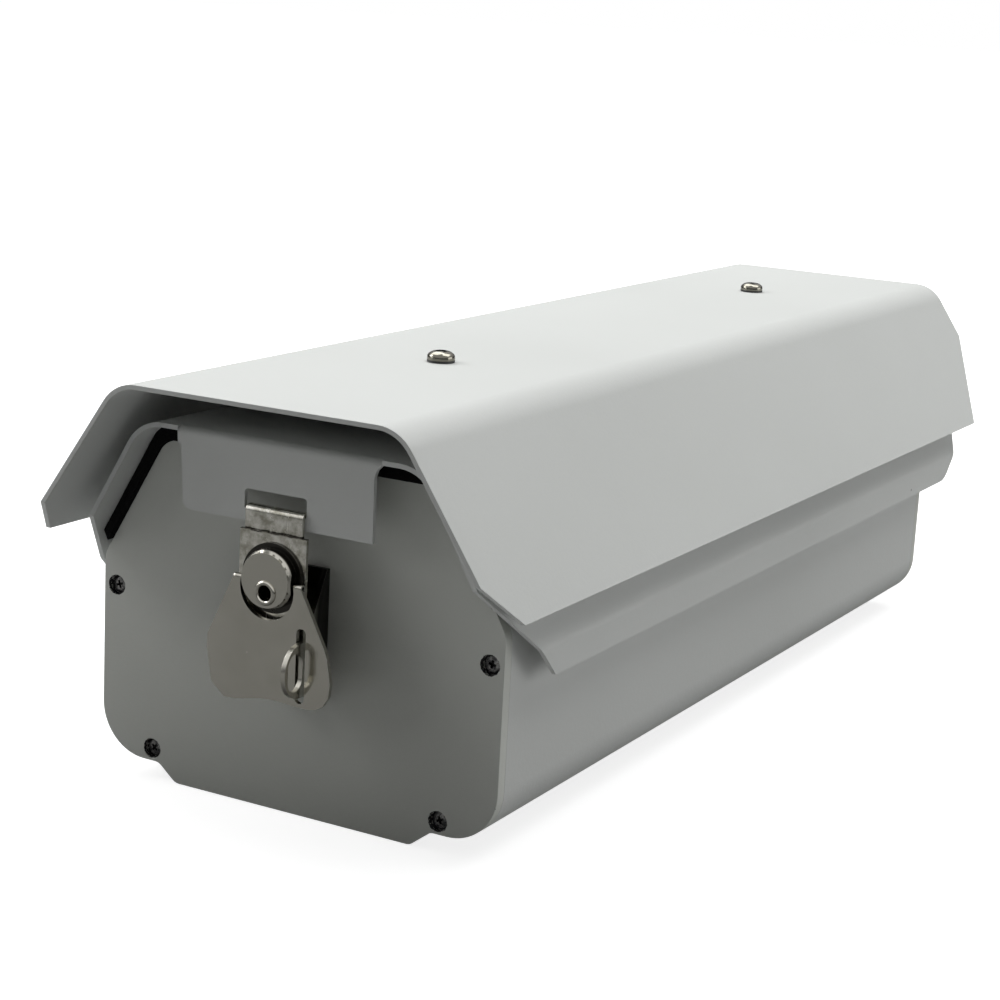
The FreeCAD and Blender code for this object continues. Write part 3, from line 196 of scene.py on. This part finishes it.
def round_edges(piece, width, segments=2, sharper_than=38):
    add_modifier(piece, "BEVEL", {"width": width, "segments": segments, "limit_method": "ANGLE",
                                  "angle_limit": math.radians(sharper_than)})
    smooth(piece, 46)
    return piece


def fit(piece, body, node, finish=None):
    if finish:
        piece.data.materials.clear()
        piece.data.materials.append(finish)
    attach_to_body(piece, body)
    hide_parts(node)


grey_coat = powder_coat("powder_coat_grey")
tray = round_edges(copy_of("body_tray"), 0.00025)
fit(tray, "housing", "body_tray", grey_coat)


# Two end plates of 4 mm aluminium, milled to the outline of the tray, counterbored for
# their screws and coated like it. The front one has the window opening. The screw
# pockets are painted near-black as shade, and the coat is chipped at one edge.
upper_pocket, lower_pocket = (0.070, 0.0627), (0.0546, 0.0099)
# The end plates get a slightly warmer copy of the coat, a painted tint of the light in their shade.
plate_coat = powder_coat("powder_coat_plate", chip=(0.0748, -0.187, 0.0184),
                         shaded_pockets=(upper_pocket, lower_pocket), warm_shade_tint=0.96)
for node in ("rear_plate", "front_plate"):
    plate = round_edges(copy_of(node), 0.0003)
    fit(plate, "housing", node, plate_coat)


# Eight black-oxide pan head screws with a cross recess hold the end plates. They form their
# own thread in the tray's channels; the heads at the latch end lie below the plate's face.
def pick(piece, kind, test):
    bpy.ops.mesh.select_mode(type=kind)
    bpy.ops.mesh.select_all(action="DESELECT")
    mesh = bmesh.from_edit_mesh(piece.data)
    for item in {"VERT": mesh.verts, "EDGE": mesh.edges, "FACE": mesh.faces}[kind]:
        if kind == "VERT":
            chosen = test(item.co, item.normal)
        elif kind == "EDGE":
            a, b = item.verts[0].co, item.verts[1].co
            chosen = test((a + b) / 2, (b - a).normalized())
        else:
            chosen = test(item.calc_center_median(), item.normal)
        item.select_set(bool(chosen))
    bmesh.update_edit_mesh(piece.data)


def cut_away(piece, cutter):
    add_modifier(piece, "BOOLEAN", {"object": cutter, "operation": "DIFFERENCE", "solver": "EXACT",
                                    "material_mode": "TRANSFER"})
    bpy.data.objects.remove(cutter)


def cross_screw(name, finish, head, tall, dome, shank, long):
    rounding = 0.72 * head
    squash = dome / rounding
    high = rounding + (tall - dome) / squash
    bpy.ops.object.select_all(action="DESELECT")
    bpy.ops.mesh.primitive_cylinder_add(vertices=40, radius=head, depth=high, location=(0, 0, high / 2))
    screw = bpy.context.object
    screw.name = name
    screw.data.materials.append(finish)
    bpy.ops.object.transform_apply(location=True, rotation=True, scale=True)
    bpy.ops.object.mode_set(mode="EDIT")
    pick(screw, "EDGE", lambda spot, way: spot.z > high * 0.99 and abs(way.z) < 0.1)
    bpy.ops.mesh.bevel(offset=rounding, segments=7, affect="EDGES", profile=0.5)
    pick(screw, "FACE", lambda spot, way: True)
    bpy.ops.transform.resize(value=(1, 1, squash), center_override=(0, 0, 0))
    pick(screw, "FACE", lambda spot, way: way.z < -0.99)
    bpy.ops.mesh.inset(thickness=head - shank)
    bpy.ops.mesh.extrude_region_move(TRANSFORM_OT_translate={"value": (0, 0, -long + shank)})
    bpy.ops.mesh.extrude_region_move(TRANSFORM_OT_translate={"value": (0, 0, -shank)})
    bpy.ops.transform.resize(value=(0.55, 0.55, 1), center_override=(0, 0, -long))
    bpy.ops.object.mode_set(mode="OBJECT")
    arm, slit = head * 1.55, head * 0.44
    for wide, deep, taper in ((arm, slit, (0.45, 0.6, 1)), (slit, arm, (0.6, 0.45, 1))):
        bpy.ops.mesh.primitive_cube_add(size=1, location=(0, 0, tall + head * 0.1))
        cutter = bpy.context.object
        # The recess faces take the near-black finish: painted shade.
        cutter.data.materials.append(painted_recess_shade)
        cutter.scale = (wide, deep, head * 0.9)
        bpy.ops.object.transform_apply(location=True, rotation=True, scale=True)
        bpy.ops.object.mode_set(mode="EDIT")
        pick(cutter, "FACE", lambda spot, way: way.z < -0.9)
        bpy.ops.transform.resize(value=taper, center_override=(0, 0, tall))
        bpy.ops.object.mode_set(mode="OBJECT")
        cut_away(screw, cutter)
    smooth(screw, 38)
    return screw


def turned(axis, angle):
    return Matrix.Rotation(math.radians(angle), 4, axis)


def put_copies(model, places, body, node):
    for number, (spot, pose) in enumerate(places, start=1):
        piece = bpy.data.objects.new("%s_%d" % (model.name, number), model.data.copy())
        bpy.context.scene.collection.objects.link(piece)
        piece.data.transform(Matrix.Translation(spot) @ pose)
        fit(piece, body, node)
    bpy.data.objects.remove(model)


def contrast(start, value, low, high):
    return start.node("ShaderNodeMapRange", {}, {"Value": value, "From Min": low, "From Max": high})


def oxide(name, dark, light):
    material, tree, shader, start, place = new_finish(name, 0.4, 0.6)
    grain = noise(start, place, 1500, 3)
    rub = contrast(start, noise(start, place, 420, 4), 0.4, 0.7)
    attach(tree, shader, shade(start, dark, light, rub), 0.18 + 0.2 * grain, grain, 0.00004)
    return material


black_oxide = oxide("black_oxide", (0.07, 0.07, 0.072), (0.5, 0.495, 0.48))
# The cross recesses of all screws are cut with this near-black finish, a painted shade.
painted_recess_shade = oxide("screw_recess_painted_shade", (0.003, 0.003, 0.003), (0.012, 0.012, 0.011))
spots = [(side * across, high) for side in (-1, 1) for across, high in (upper_pocket, lower_pocket)]
seat, bracket_seat = 0.1844, 0.1885
to_rear = turned("X", 90)
to_front = turned("X", -90)
rear_screw = cross_screw("rear_plate_screw", black_oxide,
                         head=0.0026, tall=0.0012, dome=0.0005, shank=0.0017, long=0.016)
put_copies(rear_screw,
           [((x, -seat, z), to_rear @ turned("Z", 17 + 31 * i)) for i, (x, z) in enumerate(spots)],
           "housing", "rear_plate_screws")
front_screw = cross_screw("front_plate_screw", black_oxide,
                          head=0.003, tall=0.0022, dome=0.0011, shank=0.0017, long=0.016)
put_copies(front_screw,
           [((x, bracket_seat if (abs(x), z) == upper_pocket else seat, z), to_front @ turned("Z", 9 + 40 * i))
            for i, (x, z) in enumerate(spots)],
           "housing", "front_plate_screws")


# Window: a black rubber ring lies on the plate, the float glass pane on the ring, and a
# black steel frame with four small screws clamps both from inside.
def moulded(name, dark, light, roughness, scale, depth):
    material, tree, shader, start, place = new_finish(name, roughness)
    grain = noise(start, place, scale, 3)
    dust = noise(start, place, 60, 4)
    attach(tree, shader, shade(start, dark, light, dust), roughness - 0.08 + 0.16 * grain, grain, depth)
    return material


def pane_glass():
    material, tree, shader, start, place = new_finish("float_glass", 0.02)
    shader.inputs["Base Color"].default_value = (0.90, 0.95, 0.93, 1)
    shader.inputs["Transmission Weight"].default_value = 1.0
    shader.inputs["IOR"].default_value = 1.5
    smear = noise(start, place, 25, 3)
    attach(tree, shader, None, 0.01 + 0.03 * smear)
    return material


rubber = moulded("black_rubber", (0.018, 0.018, 0.018), (0.035, 0.035, 0.034), 0.6, 900, 0.00004)
satin_black = moulded("satin_black_steel", (0.03, 0.03, 0.031), (0.055, 0.055, 0.055), 0.42, 1300, 0.00003)
fit(round_edges(copy_of("window_gasket"), 0.0002), "housing", "window_gasket", rubber)
fit(round_edges(copy_of("window_glass"), 0.0003), "housing", "window_glass", pane_glass())
fit(round_edges(copy_of("window_retainer"), 0.0003), "housing", "window_retainer", satin_black)


def stretched(start, place, scale, turn=(0, 0, 0)):
    return start.node("ShaderNodeMapping", {}, {"Vector": place, "Scale": scale, "Rotation": turn})


def plated(name, dark, light, scale):
    material, tree, shader, start, place = new_finish(name, 0.35, 1.0)
    spangle = noise(start, place, scale, 4, 0.6)
    streak = noise(start, stretched(start, place, (900, 60, 900)), 1, 2)
    attach(tree, shader, shade(start, dark, light, spangle), 0.26 + 0.14 * spangle + 0.08 * streak,
           streak + 0.5 * spangle, 0.00002)
    return material


zinc = plated("zinc_plate", (0.42, 0.43, 0.43), (0.60, 0.60, 0.585), 90)
frame_screw = cross_screw("retainer_screw", zinc,
                          head=0.0023, tall=0.0012, dome=0.0009, shank=0.0012, long=0.008)
window_middle, frame_face = 0.060, 0.177
corners = [(x, window_middle + z) for x in (-0.0512, 0.0512) for z in (-0.0402, 0.0402)]
put_copies(frame_screw,
           [((x, frame_face, z), to_rear @ turned("Z", 20 + 25 * i)) for i, (x, z) in enumerate(corners)],
           "housing", "retainer_screws")


# Bracket plate: zinc plated 4 mm steel on the floor of the tray, with tapped holes for the
# wall bracket below it. The camera rail is screwed to its upper face.
fit(round_edges(copy_of("mount_plate"), 0.0003), "housing", "mount_plate", zinc)


# Camera rail: 2 mm aluminium sheet folded to a channel with two feet, slotted along its
# middle. Mill finish, with the fine lines that rolling leaves along the sheet.
def rolled_aluminium():
    material, tree, shader, start, place = new_finish("mill_aluminium", 0.4, 1.0)
    line = noise(start, stretched(start, place, (1400, 22, 1400)), 1, 3)
    cloud = noise(start, place, 40, 3)
    attach(tree, shader, shade(start, (0.50, 0.51, 0.52), (0.66, 0.665, 0.67), 0.6 * line + 0.4 * cloud),
           0.28 + 0.2 * line, line, 0.00002)
    return material


fit(round_edges(copy_of("camera_rail"), 0.0003), "housing", "camera_rail", rolled_aluminium())
rail_middle, foot_face, foot_hole = 0.012, 0.009, 0.0325
rail_screw = cross_screw("rail_screw", zinc,
                         head=0.003, tall=0.0012, dome=0.0009, shank=0.0016, long=0.006)
put_copies(rail_screw,
           [((x, rail_middle, foot_face), turned("Z", 25 + 30 * i))
            for i, x in enumerate((-foot_hole, foot_hole))],
           "housing", "rail_screws")


# Thumb screw for the camera: a ribbed black knob under the rail, moulded round a plated
# quarter-inch stud that stands up through the slot.
ribs, knob_middle, stud_middle, stud_long = 24, 0.017, 0.0235, 0.007
bpy.ops.object.select_all(action="DESELECT")
bpy.ops.mesh.primitive_cylinder_add(vertices=2 * ribs, radius=0.0068, depth=0.006,
                                    location=(0, rail_middle, knob_middle))
knob = bpy.context.object
knob.name = "camera_screw_knob"
bpy.ops.object.transform_apply(location=True, rotation=True, scale=True)
bpy.ops.object.mode_set(mode="EDIT")
pick(knob, "FACE", lambda spot, way: abs(way.z) < 0.1 and
     int(round(math.atan2(way.y, way.x) / math.pi * ribs - 0.5)) % 2)
bpy.ops.mesh.extrude_faces_move(TRANSFORM_OT_shrink_fatten={"value": -0.0005})
pick(knob, "FACE", lambda spot, way: way.z < -0.99)
bpy.ops.mesh.inset(thickness=0.0012)
bpy.ops.mesh.extrude_region_move(TRANSFORM_OT_translate={"value": (0, 0, 0.0006)})
bpy.ops.object.mode_set(mode="OBJECT")
round_edges(knob, 0.00015, 1)
fit(knob, "housing", "camera_screw",
    moulded("black_plastic", (0.024, 0.024, 0.025), (0.045, 0.045, 0.045), 0.5, 1100, 0.00004))
bpy.ops.object.select_all(action="DESELECT")
bpy.ops.mesh.primitive_cylinder_add(vertices=28, radius=0.0031, depth=stud_long,
                                    location=(0, rail_middle, stud_middle))
stud = bpy.context.object
stud.name = "camera_screw_stud"
bpy.ops.object.transform_apply(location=True, rotation=True, scale=True)
bpy.ops.object.mode_set(mode="EDIT")
pick(stud, "EDGE", lambda spot, way: spot.z > stud_middle + stud_long / 2 - 0.0001 and abs(way.z) < 0.1)
bpy.ops.mesh.bevel(offset=0.0006, segments=2, affect="EDGES")
bpy.ops.object.mode_set(mode="OBJECT")
smooth(stud, 40)
fit(stud, "housing", "camera_screw", zinc)


# Seal on the edge of the front plate: a strip of closed-cell black foam, stuck on with
# its own adhesive, that the lid closes over.
def cell_foam():
    material, tree, shader, start, place = new_finish("black_foam", 0.85)
    cell = start.node("ShaderNodeTexVoronoi", {"feature": "F1"}, {"Vector": place, "Scale": 1500.0}, "Distance")
    grain = noise(start, place, 350, 4)
    attach(tree, shader, shade(start, (0.001, 0.001, 0.001), (0.006, 0.006, 0.006), grain),
           0.82 + 0.15 * grain, cell + 0.8 * grain, 0.00015)
    shader.inputs["Specular IOR Level"].default_value = 0.12
    return material


foam = cell_foam()
fit(round_edges(copy_of("front_seal"), 0.0004), "housing", "front_seal", foam)


# Hinge brackets of the lid: zinc plated steel angles held by the upper screws of the front
# plate, each with a forward ear that is bored for a stud.
for side in ("left", "right"):
    bracket = round_edges(copy_of("hinge_bracket_" + side), 0.0002)
    fit(bracket, "housing", "hinge_bracket_" + side, zinc)


# Lid: 1.5 mm aluminium sheet folded to a roof, with short skirts and a slotted tab for the
# latch, coated like the tray. Small fillets join the tab to the top, the skirts have
# rounded corners at the window end, and one skirt has a small chip in its coat.
def rebend(piece, crown, top, foot, bottom, sheet, old, new):
    fold = math.atan2(top - bottom, foot - crown)
    bpy.context.view_layer.objects.active = piece
    rings = sorted({(vertex.co.x, vertex.co.z) for vertex in piece.data.vertices})
    bpy.ops.object.mode_set(mode="EDIT")
    for x, z in rings:
        out, high = abs(x) - (crown - old * math.tan(fold / 2)), z - (top - old)
        turn, deep = math.atan2(out, high), old - math.hypot(out, high)
        if -0.003 < turn < fold + 0.003 and min(abs(deep), abs(deep - sheet)) < 0.00003:
            goal_x = crown - new * math.tan(fold / 2) + (new - deep) * math.sin(turn)
            goal_z = top - new + (new - deep) * math.cos(turn)
            pick(piece, "VERT", lambda spot, way: abs(spot.x - x) < 0.000003 and abs(spot.z - z) < 0.000003)
            bpy.ops.transform.translate(value=(math.copysign(goal_x, x) - x, 0, goal_z - z))
    bpy.ops.object.mode_set(mode="OBJECT")


sheet = 0.0015
lid = copy_of("lid")
rebend(lid, crown=0.052, top=0.122, foot=0.0832, bottom=0.068, sheet=sheet, old=0.0095, new=0.015)
tab_back, fillet_low = -0.1964, 0.1165
tab_foot, tab_root = (0.096, 0.0995), (0.119, 0.1221)
bpy.ops.object.mode_set(mode="EDIT")
for (low, high), side, shift in ((tab_foot, 1, -0.0009), (tab_root, 1, -0.0012), (tab_foot, -1, 0.0012)):
    pick(lid, "VERT", lambda spot, way: low < spot.z < high and spot.y < tab_back and
         0.0325 < spot.x * side < 0.0365)
    bpy.ops.transform.translate(value=(shift, 0, 0))
pick(lid, "FACE", lambda spot, way: abs(spot.x) < 0.0366 and spot.y < tab_back)
bpy.ops.mesh.bisect(plane_co=(0, 0, fillet_low), plane_no=(0, 0, 1))
nick_end, first_step = 0.0373, 0.0007
for side, edge in ((1, 0.0348), (-1, 0.0360)):
    for step, under in ((first_step, 0.1186), (nick_end - edge - first_step, 0.1205)):
        pick(lid, "FACE", lambda spot, way: way.x * side > 0.95 and abs(spot.x * side - edge) < 0.0003 and
             spot.y < tab_back and spot.z > fillet_low)
        bpy.ops.mesh.extrude_region_move(TRANSFORM_OT_translate={"value": (side * step, 0, 0)})
        edge += step
        pick(lid, "VERT", lambda spot, way: abs(spot.x * side - edge) < 0.00015 and spot.y < tab_back and
             fillet_low - 0.0001 < spot.z < under + 0.0001)
        bpy.ops.transform.resize(value=(1, 1, 0), center_override=(0, 0, under))
pick(lid, "EDGE", lambda spot, way: abs(way.x) > 0.95 and abs(spot.x) > 0.08 and
     spot.y > 0.19 and spot.z < 0.0668)
bpy.ops.mesh.bevel(offset=0.004, segments=4, affect="EDGES")
bpy.ops.object.mode_set(mode="OBJECT")
round_edges(lid, 0.0004, 3)
fit(lid, "lid", "lid", powder_coat("powder_coat_lid", chip=(0.0832, 0.150, 0.0610)))


# Studs of the hinge: turned pins with a collar, zinc plated and fixed inside the lid's
# skirts. Each one turns in the bored ear of its hinge bracket.
for side in ("left", "right"):
    fit(round_edges(copy_of("hinge_stud_" + side), 0.0002), "lid", "hinge_stud_" + side, zinc)


# Seals in the lid: an arch of black foam over the rear plate and a strip along each lip of
# the tray. They are cut by knife and glued in; the arch's two ends are cut at a slant.
arch = copy_of("lid_rear_seal")
bpy.ops.object.mode_set(mode="EDIT")
left_cut = Vector((-0.0740, 0, 0.0811)), Vector((0.909, 0, 0.417))
right_cut = Vector((0.0702, 0, 0.0800)), Vector((-0.5, 0, 0.866))
for middle, inward in (left_cut, right_cut):
    pick(arch, "FACE", lambda spot, way: True)
    bpy.ops.mesh.bisect(plane_co=middle, plane_no=inward)
    pick(arch, "VERT", lambda spot, way: (spot - middle).dot(inward) < -0.00001)
    bpy.ops.mesh.delete(type="VERT")
    pick(arch, "EDGE", lambda spot, way: abs((spot - middle).dot(inward)) < 0.00001)
    bpy.ops.mesh.fill_holes(sides=0)
bpy.ops.object.mode_set(mode="OBJECT")
round_edges(arch, 0.0005)
fit(arch, "lid", "lid_rear_seal", foam)
fit(round_edges(copy_of("lid_side_seals"), 0.0004), "lid", "lid_side_seals", foam)


# Sun shield: 1.5 mm aluminium sheet with two wide bends, coated like the tray, open at both
# ends, its lower corners cut at a slant. It stands on two spacers above the lid.
shield = copy_of("sun_shield")
rebend(shield, crown=0.0512, top=0.1355, foot=0.0884, bottom=0.0815, sheet=sheet, old=0.024, new=0.0145)
round_edges(shield, 0.0005, 3)
fit(shield, "lid", "sun_shield", grey_coat)
fit(round_edges(copy_of("shield_spacers"), 0.0003), "lid", "shield_spacers", zinc)
fit(round_edges(copy_of("shield_nuts"), 0.0003), "lid", "shield_nuts", zinc)


# Two dull stainless screws with a domed head and a cross recess clamp the shield. Each
# stands on a black rubber washer, passes its spacer and ends in a nut inside the lid.
def pressed_stainless(name, dark, light, stain=0.0, painted_shade_height=None):
    material, tree, shader, start, place = new_finish(name, 0.15, 1.0)
    wave = noise(start, place, 42, 2)
    cloud = noise(start, place, 130, 5, 0.6)
    spot = contrast(start, noise(start, place, 480, 3), 0.60, 0.75)
    rubbed = stretched(start, place, (300, 300, 22), (0, 0.5, 0))
    scratch = contrast(start, noise(start, rubbed, 4, 2), 0.64, 0.70)
    patchy = contrast(start, noise(start, place, 330, 6, 0.65), 0.36, 0.64)
    colour = shade(start, dark, light, (1 - stain) * (0.6 * cloud + 0.4 * wave) + stain * patchy)
    if painted_shade_height:
        # A dark line at this height is painted shade in the corner of the jog.
        height = start.node("ShaderNodeSeparateXYZ", {}, {"Vector": place}, "Z")
        away = start.node("ShaderNodeMath", {"operation": "ABSOLUTE"},
                          {0: height - painted_shade_height + 0.0005 * (patchy - 0.5)})
        colour = shade(start, (0.04, 0.037, 0.03), colour, contrast(start, away, 0.0001, 0.0004))
    attach(tree, shader, colour, 0.08 + 0.12 * cloud + 0.10 * spot + 0.06 * scratch + 0.1 * stain,
           wave + 0.04 * cloud + 0.006 * scratch - 0.01 * spot, 0.0007)
    return material


dull_stainless = pressed_stainless("dull_stainless", (0.10, 0.095, 0.075), (0.26, 0.25, 0.215))
near_screw, far_screw = -0.105, 0.1585
washer_top, washer_scale = 0.1363, 0.93
washers = copy_of("shield_washers")
bpy.ops.object.mode_set(mode="EDIT")
for middle in (near_screw, far_screw):
    pick(washers, "VERT", lambda spot, way: spot.y * middle > 0)
    bpy.ops.transform.resize(value=(washer_scale, washer_scale, 1), center_override=(0, middle, 0))
bpy.ops.object.mode_set(mode="OBJECT")
fit(round_edges(washers, 0.0002), "lid", "shield_washers", rubber)
shield_screw = cross_screw("shield_screw", dull_stainless,
                           head=0.00475, tall=0.003, dome=0.0022, shank=0.0025, long=0.0218)
put_copies(shield_screw,
           [((0, y, washer_top), turned("Z", angle)) for y, angle in ((near_screw, 70), (far_screw, 25))],
           "lid", "shield_screws")


# Base of the latch: pressed stainless, two side walls and a padlock ear, held on the rear
# plate by two screws. Under the link it stays in deep shade, and this shade is painted: its colour goes
# near-black towards the plate.
def shaded_stainless(name, deep, near):
    material, tree, shader, start, place = new_finish(name, 0.35, 1.0)
    out = start.node("ShaderNodeSeparateXYZ", {}, {"Vector": place}, "Y")
    front = contrast(start, out, deep, near)
    cloud = noise(start, place, 130, 5, 0.6)
    # Painted shade: near-black behind the depth deep, the plain stainless colour in front of near.
    colour = shade(start, (0.05, 0.048, 0.043), (0.55, 0.535, 0.48), front)
    attach(tree, shader, colour, 0.16 + 0.16 * cloud, cloud, 0.000025)
    return material


stainless = pressed_stainless("pressed_stainless", (0.46, 0.445, 0.39), (0.64, 0.625, 0.57))
base_finish = shaded_stainless("base_stainless", -0.1925, -0.1965)
fit(round_edges(copy_of("latch_base"), 0.00025), "housing", "latch_base", base_finish)
base_screw = cross_screw("latch_screw", stainless,
                         head=0.003, tall=0.0012, dome=0.0009, shank=0.0016, long=0.0055)
base_middle, base_face = 0.0012, -0.1885
put_copies(base_screw,
           [((base_middle, base_face, z), to_rear @ turned("Z", 15)) for z in (0.044, 0.060)],
           "housing", "latch_screws")


# Link of the latch: 1.2 mm stainless with a round eye for the cam. Its tongue is jogged
# inwards and rolled over at the top, and hooks into the slot of the lid's tab. It is
# stained all over, and a dark line of painted shade runs along the corner where the tongue leaves the plate.
tongue_foot = 0.0945
link_finish = pressed_stainless("stained_stainless_with_painted_shade", (0.36, 0.345, 0.28), (0.95, 0.935, 0.87),
                                stain=0.8, painted_shade_height=tongue_foot)
fit(round_edges(copy_of("latch_link"), 0.0002), "housing", "latch_link", link_finish)


# Cam of the latch: turned stainless with an eccentric journal, a thin flange and a boss with
# two flats and a domed rim that carries the wing. Its wall and flange are painted dark as
# shade and dark reflection, while its face and rim keep the plain stainless colour.
cam = copy_of("latch_cam")
boss_x, boss_z, boss_face, boss_flat = 0.0018, 0.0808, -0.2068, 0.0087
rim_start, rim_scale = 0.0072, 1.10
bpy.ops.object.mode_set(mode="EDIT")
pick(cam, "VERT", lambda spot, way: spot.y < boss_face + 0.00005 and
     math.hypot(spot.x - boss_x, spot.z - boss_z) > rim_start)
bpy.ops.transform.resize(value=(rim_scale, 1, rim_scale), center_override=(boss_x, boss_face, boss_z))
for side in (-1, 1):
    pick(cam, "VERT", lambda spot, way: spot.y < boss_face + 0.00005 and (spot.x - boss_x) * side > boss_flat)
    bpy.ops.transform.resize(value=(0, 1, 1), center_override=(boss_x + side * boss_flat, boss_face, boss_z))
bpy.ops.object.mode_set(mode="OBJECT")
round_edges(cam, 0.0005, 4, 30)
# Painted shade and painted dark reflection: dark behind the rim, plain stainless on the face and rim.
cam_finish = shaded_stainless("cam_stainless_painted_shade", -0.2050, -0.2056)
fit(cam, "housing", "latch_cam", cam_finish)


# Hollow rivet that holds the cam to the base: a stainless tube whose front end is rolled
# outwards to a smooth lip.
rivet_x, rivet_z, tube_middle = 0.0022, 0.077, -0.19695
along_y = (math.radians(90), 0, 0)
bpy.ops.object.select_all(action="DESELECT")
bpy.ops.mesh.primitive_torus_add(major_segments=48, minor_segments=16, major_radius=0.0031, minor_radius=0.0008,
                                 location=(rivet_x, boss_face, rivet_z), rotation=along_y)
rivet = bpy.context.object
rivet.name = "latch_rivet_lip"
bpy.ops.object.transform_apply(location=True, rotation=True, scale=True)
bpy.ops.object.mode_set(mode="EDIT")
pick(rivet, "FACE", lambda spot, way: True)
bpy.ops.mesh.bisect(plane_co=(0, boss_face, 0), plane_no=(0, 1, 0), clear_outer=True)
bpy.ops.object.mode_set(mode="OBJECT")
smooth(rivet, 60)
fit(rivet, "housing", "latch_rivet", stainless)
bpy.ops.object.select_all(action="DESELECT")
bpy.ops.mesh.primitive_cylinder_add(vertices=48, radius=0.00295, depth=0.0195, end_fill_type="NOTHING",
                                    location=(rivet_x, tube_middle, rivet_z), rotation=along_y)
tube = bpy.context.object
tube.name = "latch_rivet_tube"
bpy.ops.object.transform_apply(location=True, rotation=True, scale=True)
add_modifier(tube, "SOLIDIFY", {"thickness": 0.00065, "offset": -1})
smooth(tube, 40)
# The tube takes the base's finish, painted darker as shade towards the plate.
fit(tube, "housing", "latch_rivet", base_finish)


# Wing of the latch: stainless sheet pressed to a butterfly outline, slotted for the padlock
# ear. Its rounded edges take a brighter finish: sheared metal, partly a painted highlight.
# Its two upper ears are rolled round stub pins in the boss, so that it folds out.
wing = copy_of("latch_wing")
slot_side, slot_low = -0.004, 0.0438
bpy.ops.object.mode_set(mode="EDIT")
pick(wing, "EDGE", lambda spot, way: abs(way.y) < 0.1 and spot.z < 0.0655 and
     (spot.x < slot_side or spot.z < slot_low))
bpy.ops.mesh.subdivide(number_cuts=5)
pick(wing, "VERT", lambda spot, way: spot.z < 0.063 and (spot.x < slot_side or spot.z < slot_low))
bpy.ops.mesh.vertices_smooth(factor=0.5, repeat=24, xaxis=True, yaxis=False, zaxis=True)
bpy.ops.object.mode_set(mode="OBJECT")
wing.data.materials.clear()
# The bevelled edges take a second, brighter finish: sheared metal, partly a painted highlight.
for finish in (stainless, pressed_stainless("sheared_edge_and_painted_highlight", (0.75, 0.74, 0.70), (0.95, 0.94, 0.90))):
    wing.data.materials.append(finish)
add_modifier(wing, "BEVEL", {"width": 0.0004, "segments": 3, "limit_method": "ANGLE",
                             "angle_limit": math.radians(38), "material": 1})
smooth(wing, 60)
fit(wing, "latch_wing", "latch_wing")
# The stub pins take the cam's finish, with its painted shade.
fit(round_edges(copy_of("wing_pins"), 0.0001), "housing", "wing_pins", cam_finish)


# Soft studio: two broad lamps overhead, one low at the right and two small ones at the left,
# in a surround that is white to the eye and dark low down in reflections, with a pale floor
# that keeps a faint shadow of the housing.
def area_lamp(name, place, aim, wide, power):
    data = bpy.data.lights.new(name, "AREA")
    data.shape = "SQUARE"
    data.size = wide
    data.energy = power
    lamp = bpy.data.objects.new(name, data)
    bpy.context.scene.collection.objects.link(lamp)
    turn = (Vector(aim) - Vector(place)).to_track_quat("-Z", "Y")
    lamp.matrix_world = Matrix.Translation(place) @ turn.to_matrix().to_4x4()


area_lamp("upper_left_lamp", (-0.8, 0.4, 1.7), (0, 0, 0.1), 1.4, 28)
area_lamp("upper_right_lamp", (0.5, 0.5, 1.7), (0, 0.05, 0.1), 1.2, 21)
area_lamp("right_lamp", (1.8, 0.7, 0.25), (0, 0.1, 0.07), 1.4, 17.5)
area_lamp("left_lamp", (-0.8, -0.7, 0.3), (-0.05, -0.19, 0.07), 0.4, 1.15)
area_lamp("left_lamp_high", (-1.0, -0.35, 0.7), (-0.05, -0.19, 0.07), 0.5, 6.8)

world = bpy.data.worlds.new("studio")
bpy.context.scene.world = world
world.use_nodes = True
sky = Wire(world.node_tree)
seen = sky.node("ShaderNodeLightPath", {}, {}, "Is Camera Ray")
mirrored = sky.node("ShaderNodeLightPath", {}, {}, "Is Glossy Ray")
through = sky.node("ShaderNodeLightPath", {}, {}, "Is Transmission Ray")
clear = sky.node("ShaderNodeMath", {"operation": "MAXIMUM"}, {0: seen, 1: through})
way = sky.node("ShaderNodeTexCoord", {}, {}, "Generated")
height = sky.node("ShaderNodeSeparateXYZ", {}, {"Vector": way}, "Z")
ceiling = contrast(sky, height, 0.1, 0.55)
level = sky.node("ShaderNodeMath", {"operation": "MAXIMUM"}, {0: clear, 1: mirrored * (0.10 + 0.8 * ceiling)})
strength = 0.002 + 0.998 * level
background = world.node_tree.nodes["Background"]
background.inputs["Color"].default_value = (1, 1, 1, 1)
world.node_tree.links.new(strength.socket, background.inputs["Strength"])

bpy.ops.mesh.primitive_plane_add(size=30, location=(0, 0, -0.0002))
floor = bpy.context.object
floor.name = "floor"
floor_material, tree, shader, start, place = new_finish("pale_floor", 0.9)
mirrored = start.node("ShaderNodeLightPath", {}, {}, "Is Glossy Ray")
attach(tree, shader, shade(start, (0.42, 0.42, 0.42), (0.16, 0.16, 0.156), mirrored))
glow = start.node("ShaderNodeLightPath", {}, {}, "Is Camera Ray")
away = start.node("ShaderNodeVectorMath", {"operation": "LENGTH"}, {0: place}, "Value")
white = glow * (0.80 + 0.17 * contrast(start, away, 0.35, 0.9))
tree.links.new(shade(start, (0, 0, 0), (1, 1, 1), white).socket, shader.inputs["Emission Color"])
shader.inputs["Emission Strength"].default_value = 1
floor.data.materials.append(floor_material)

bpy.context.scene.view_settings.view_transform = "Standard"
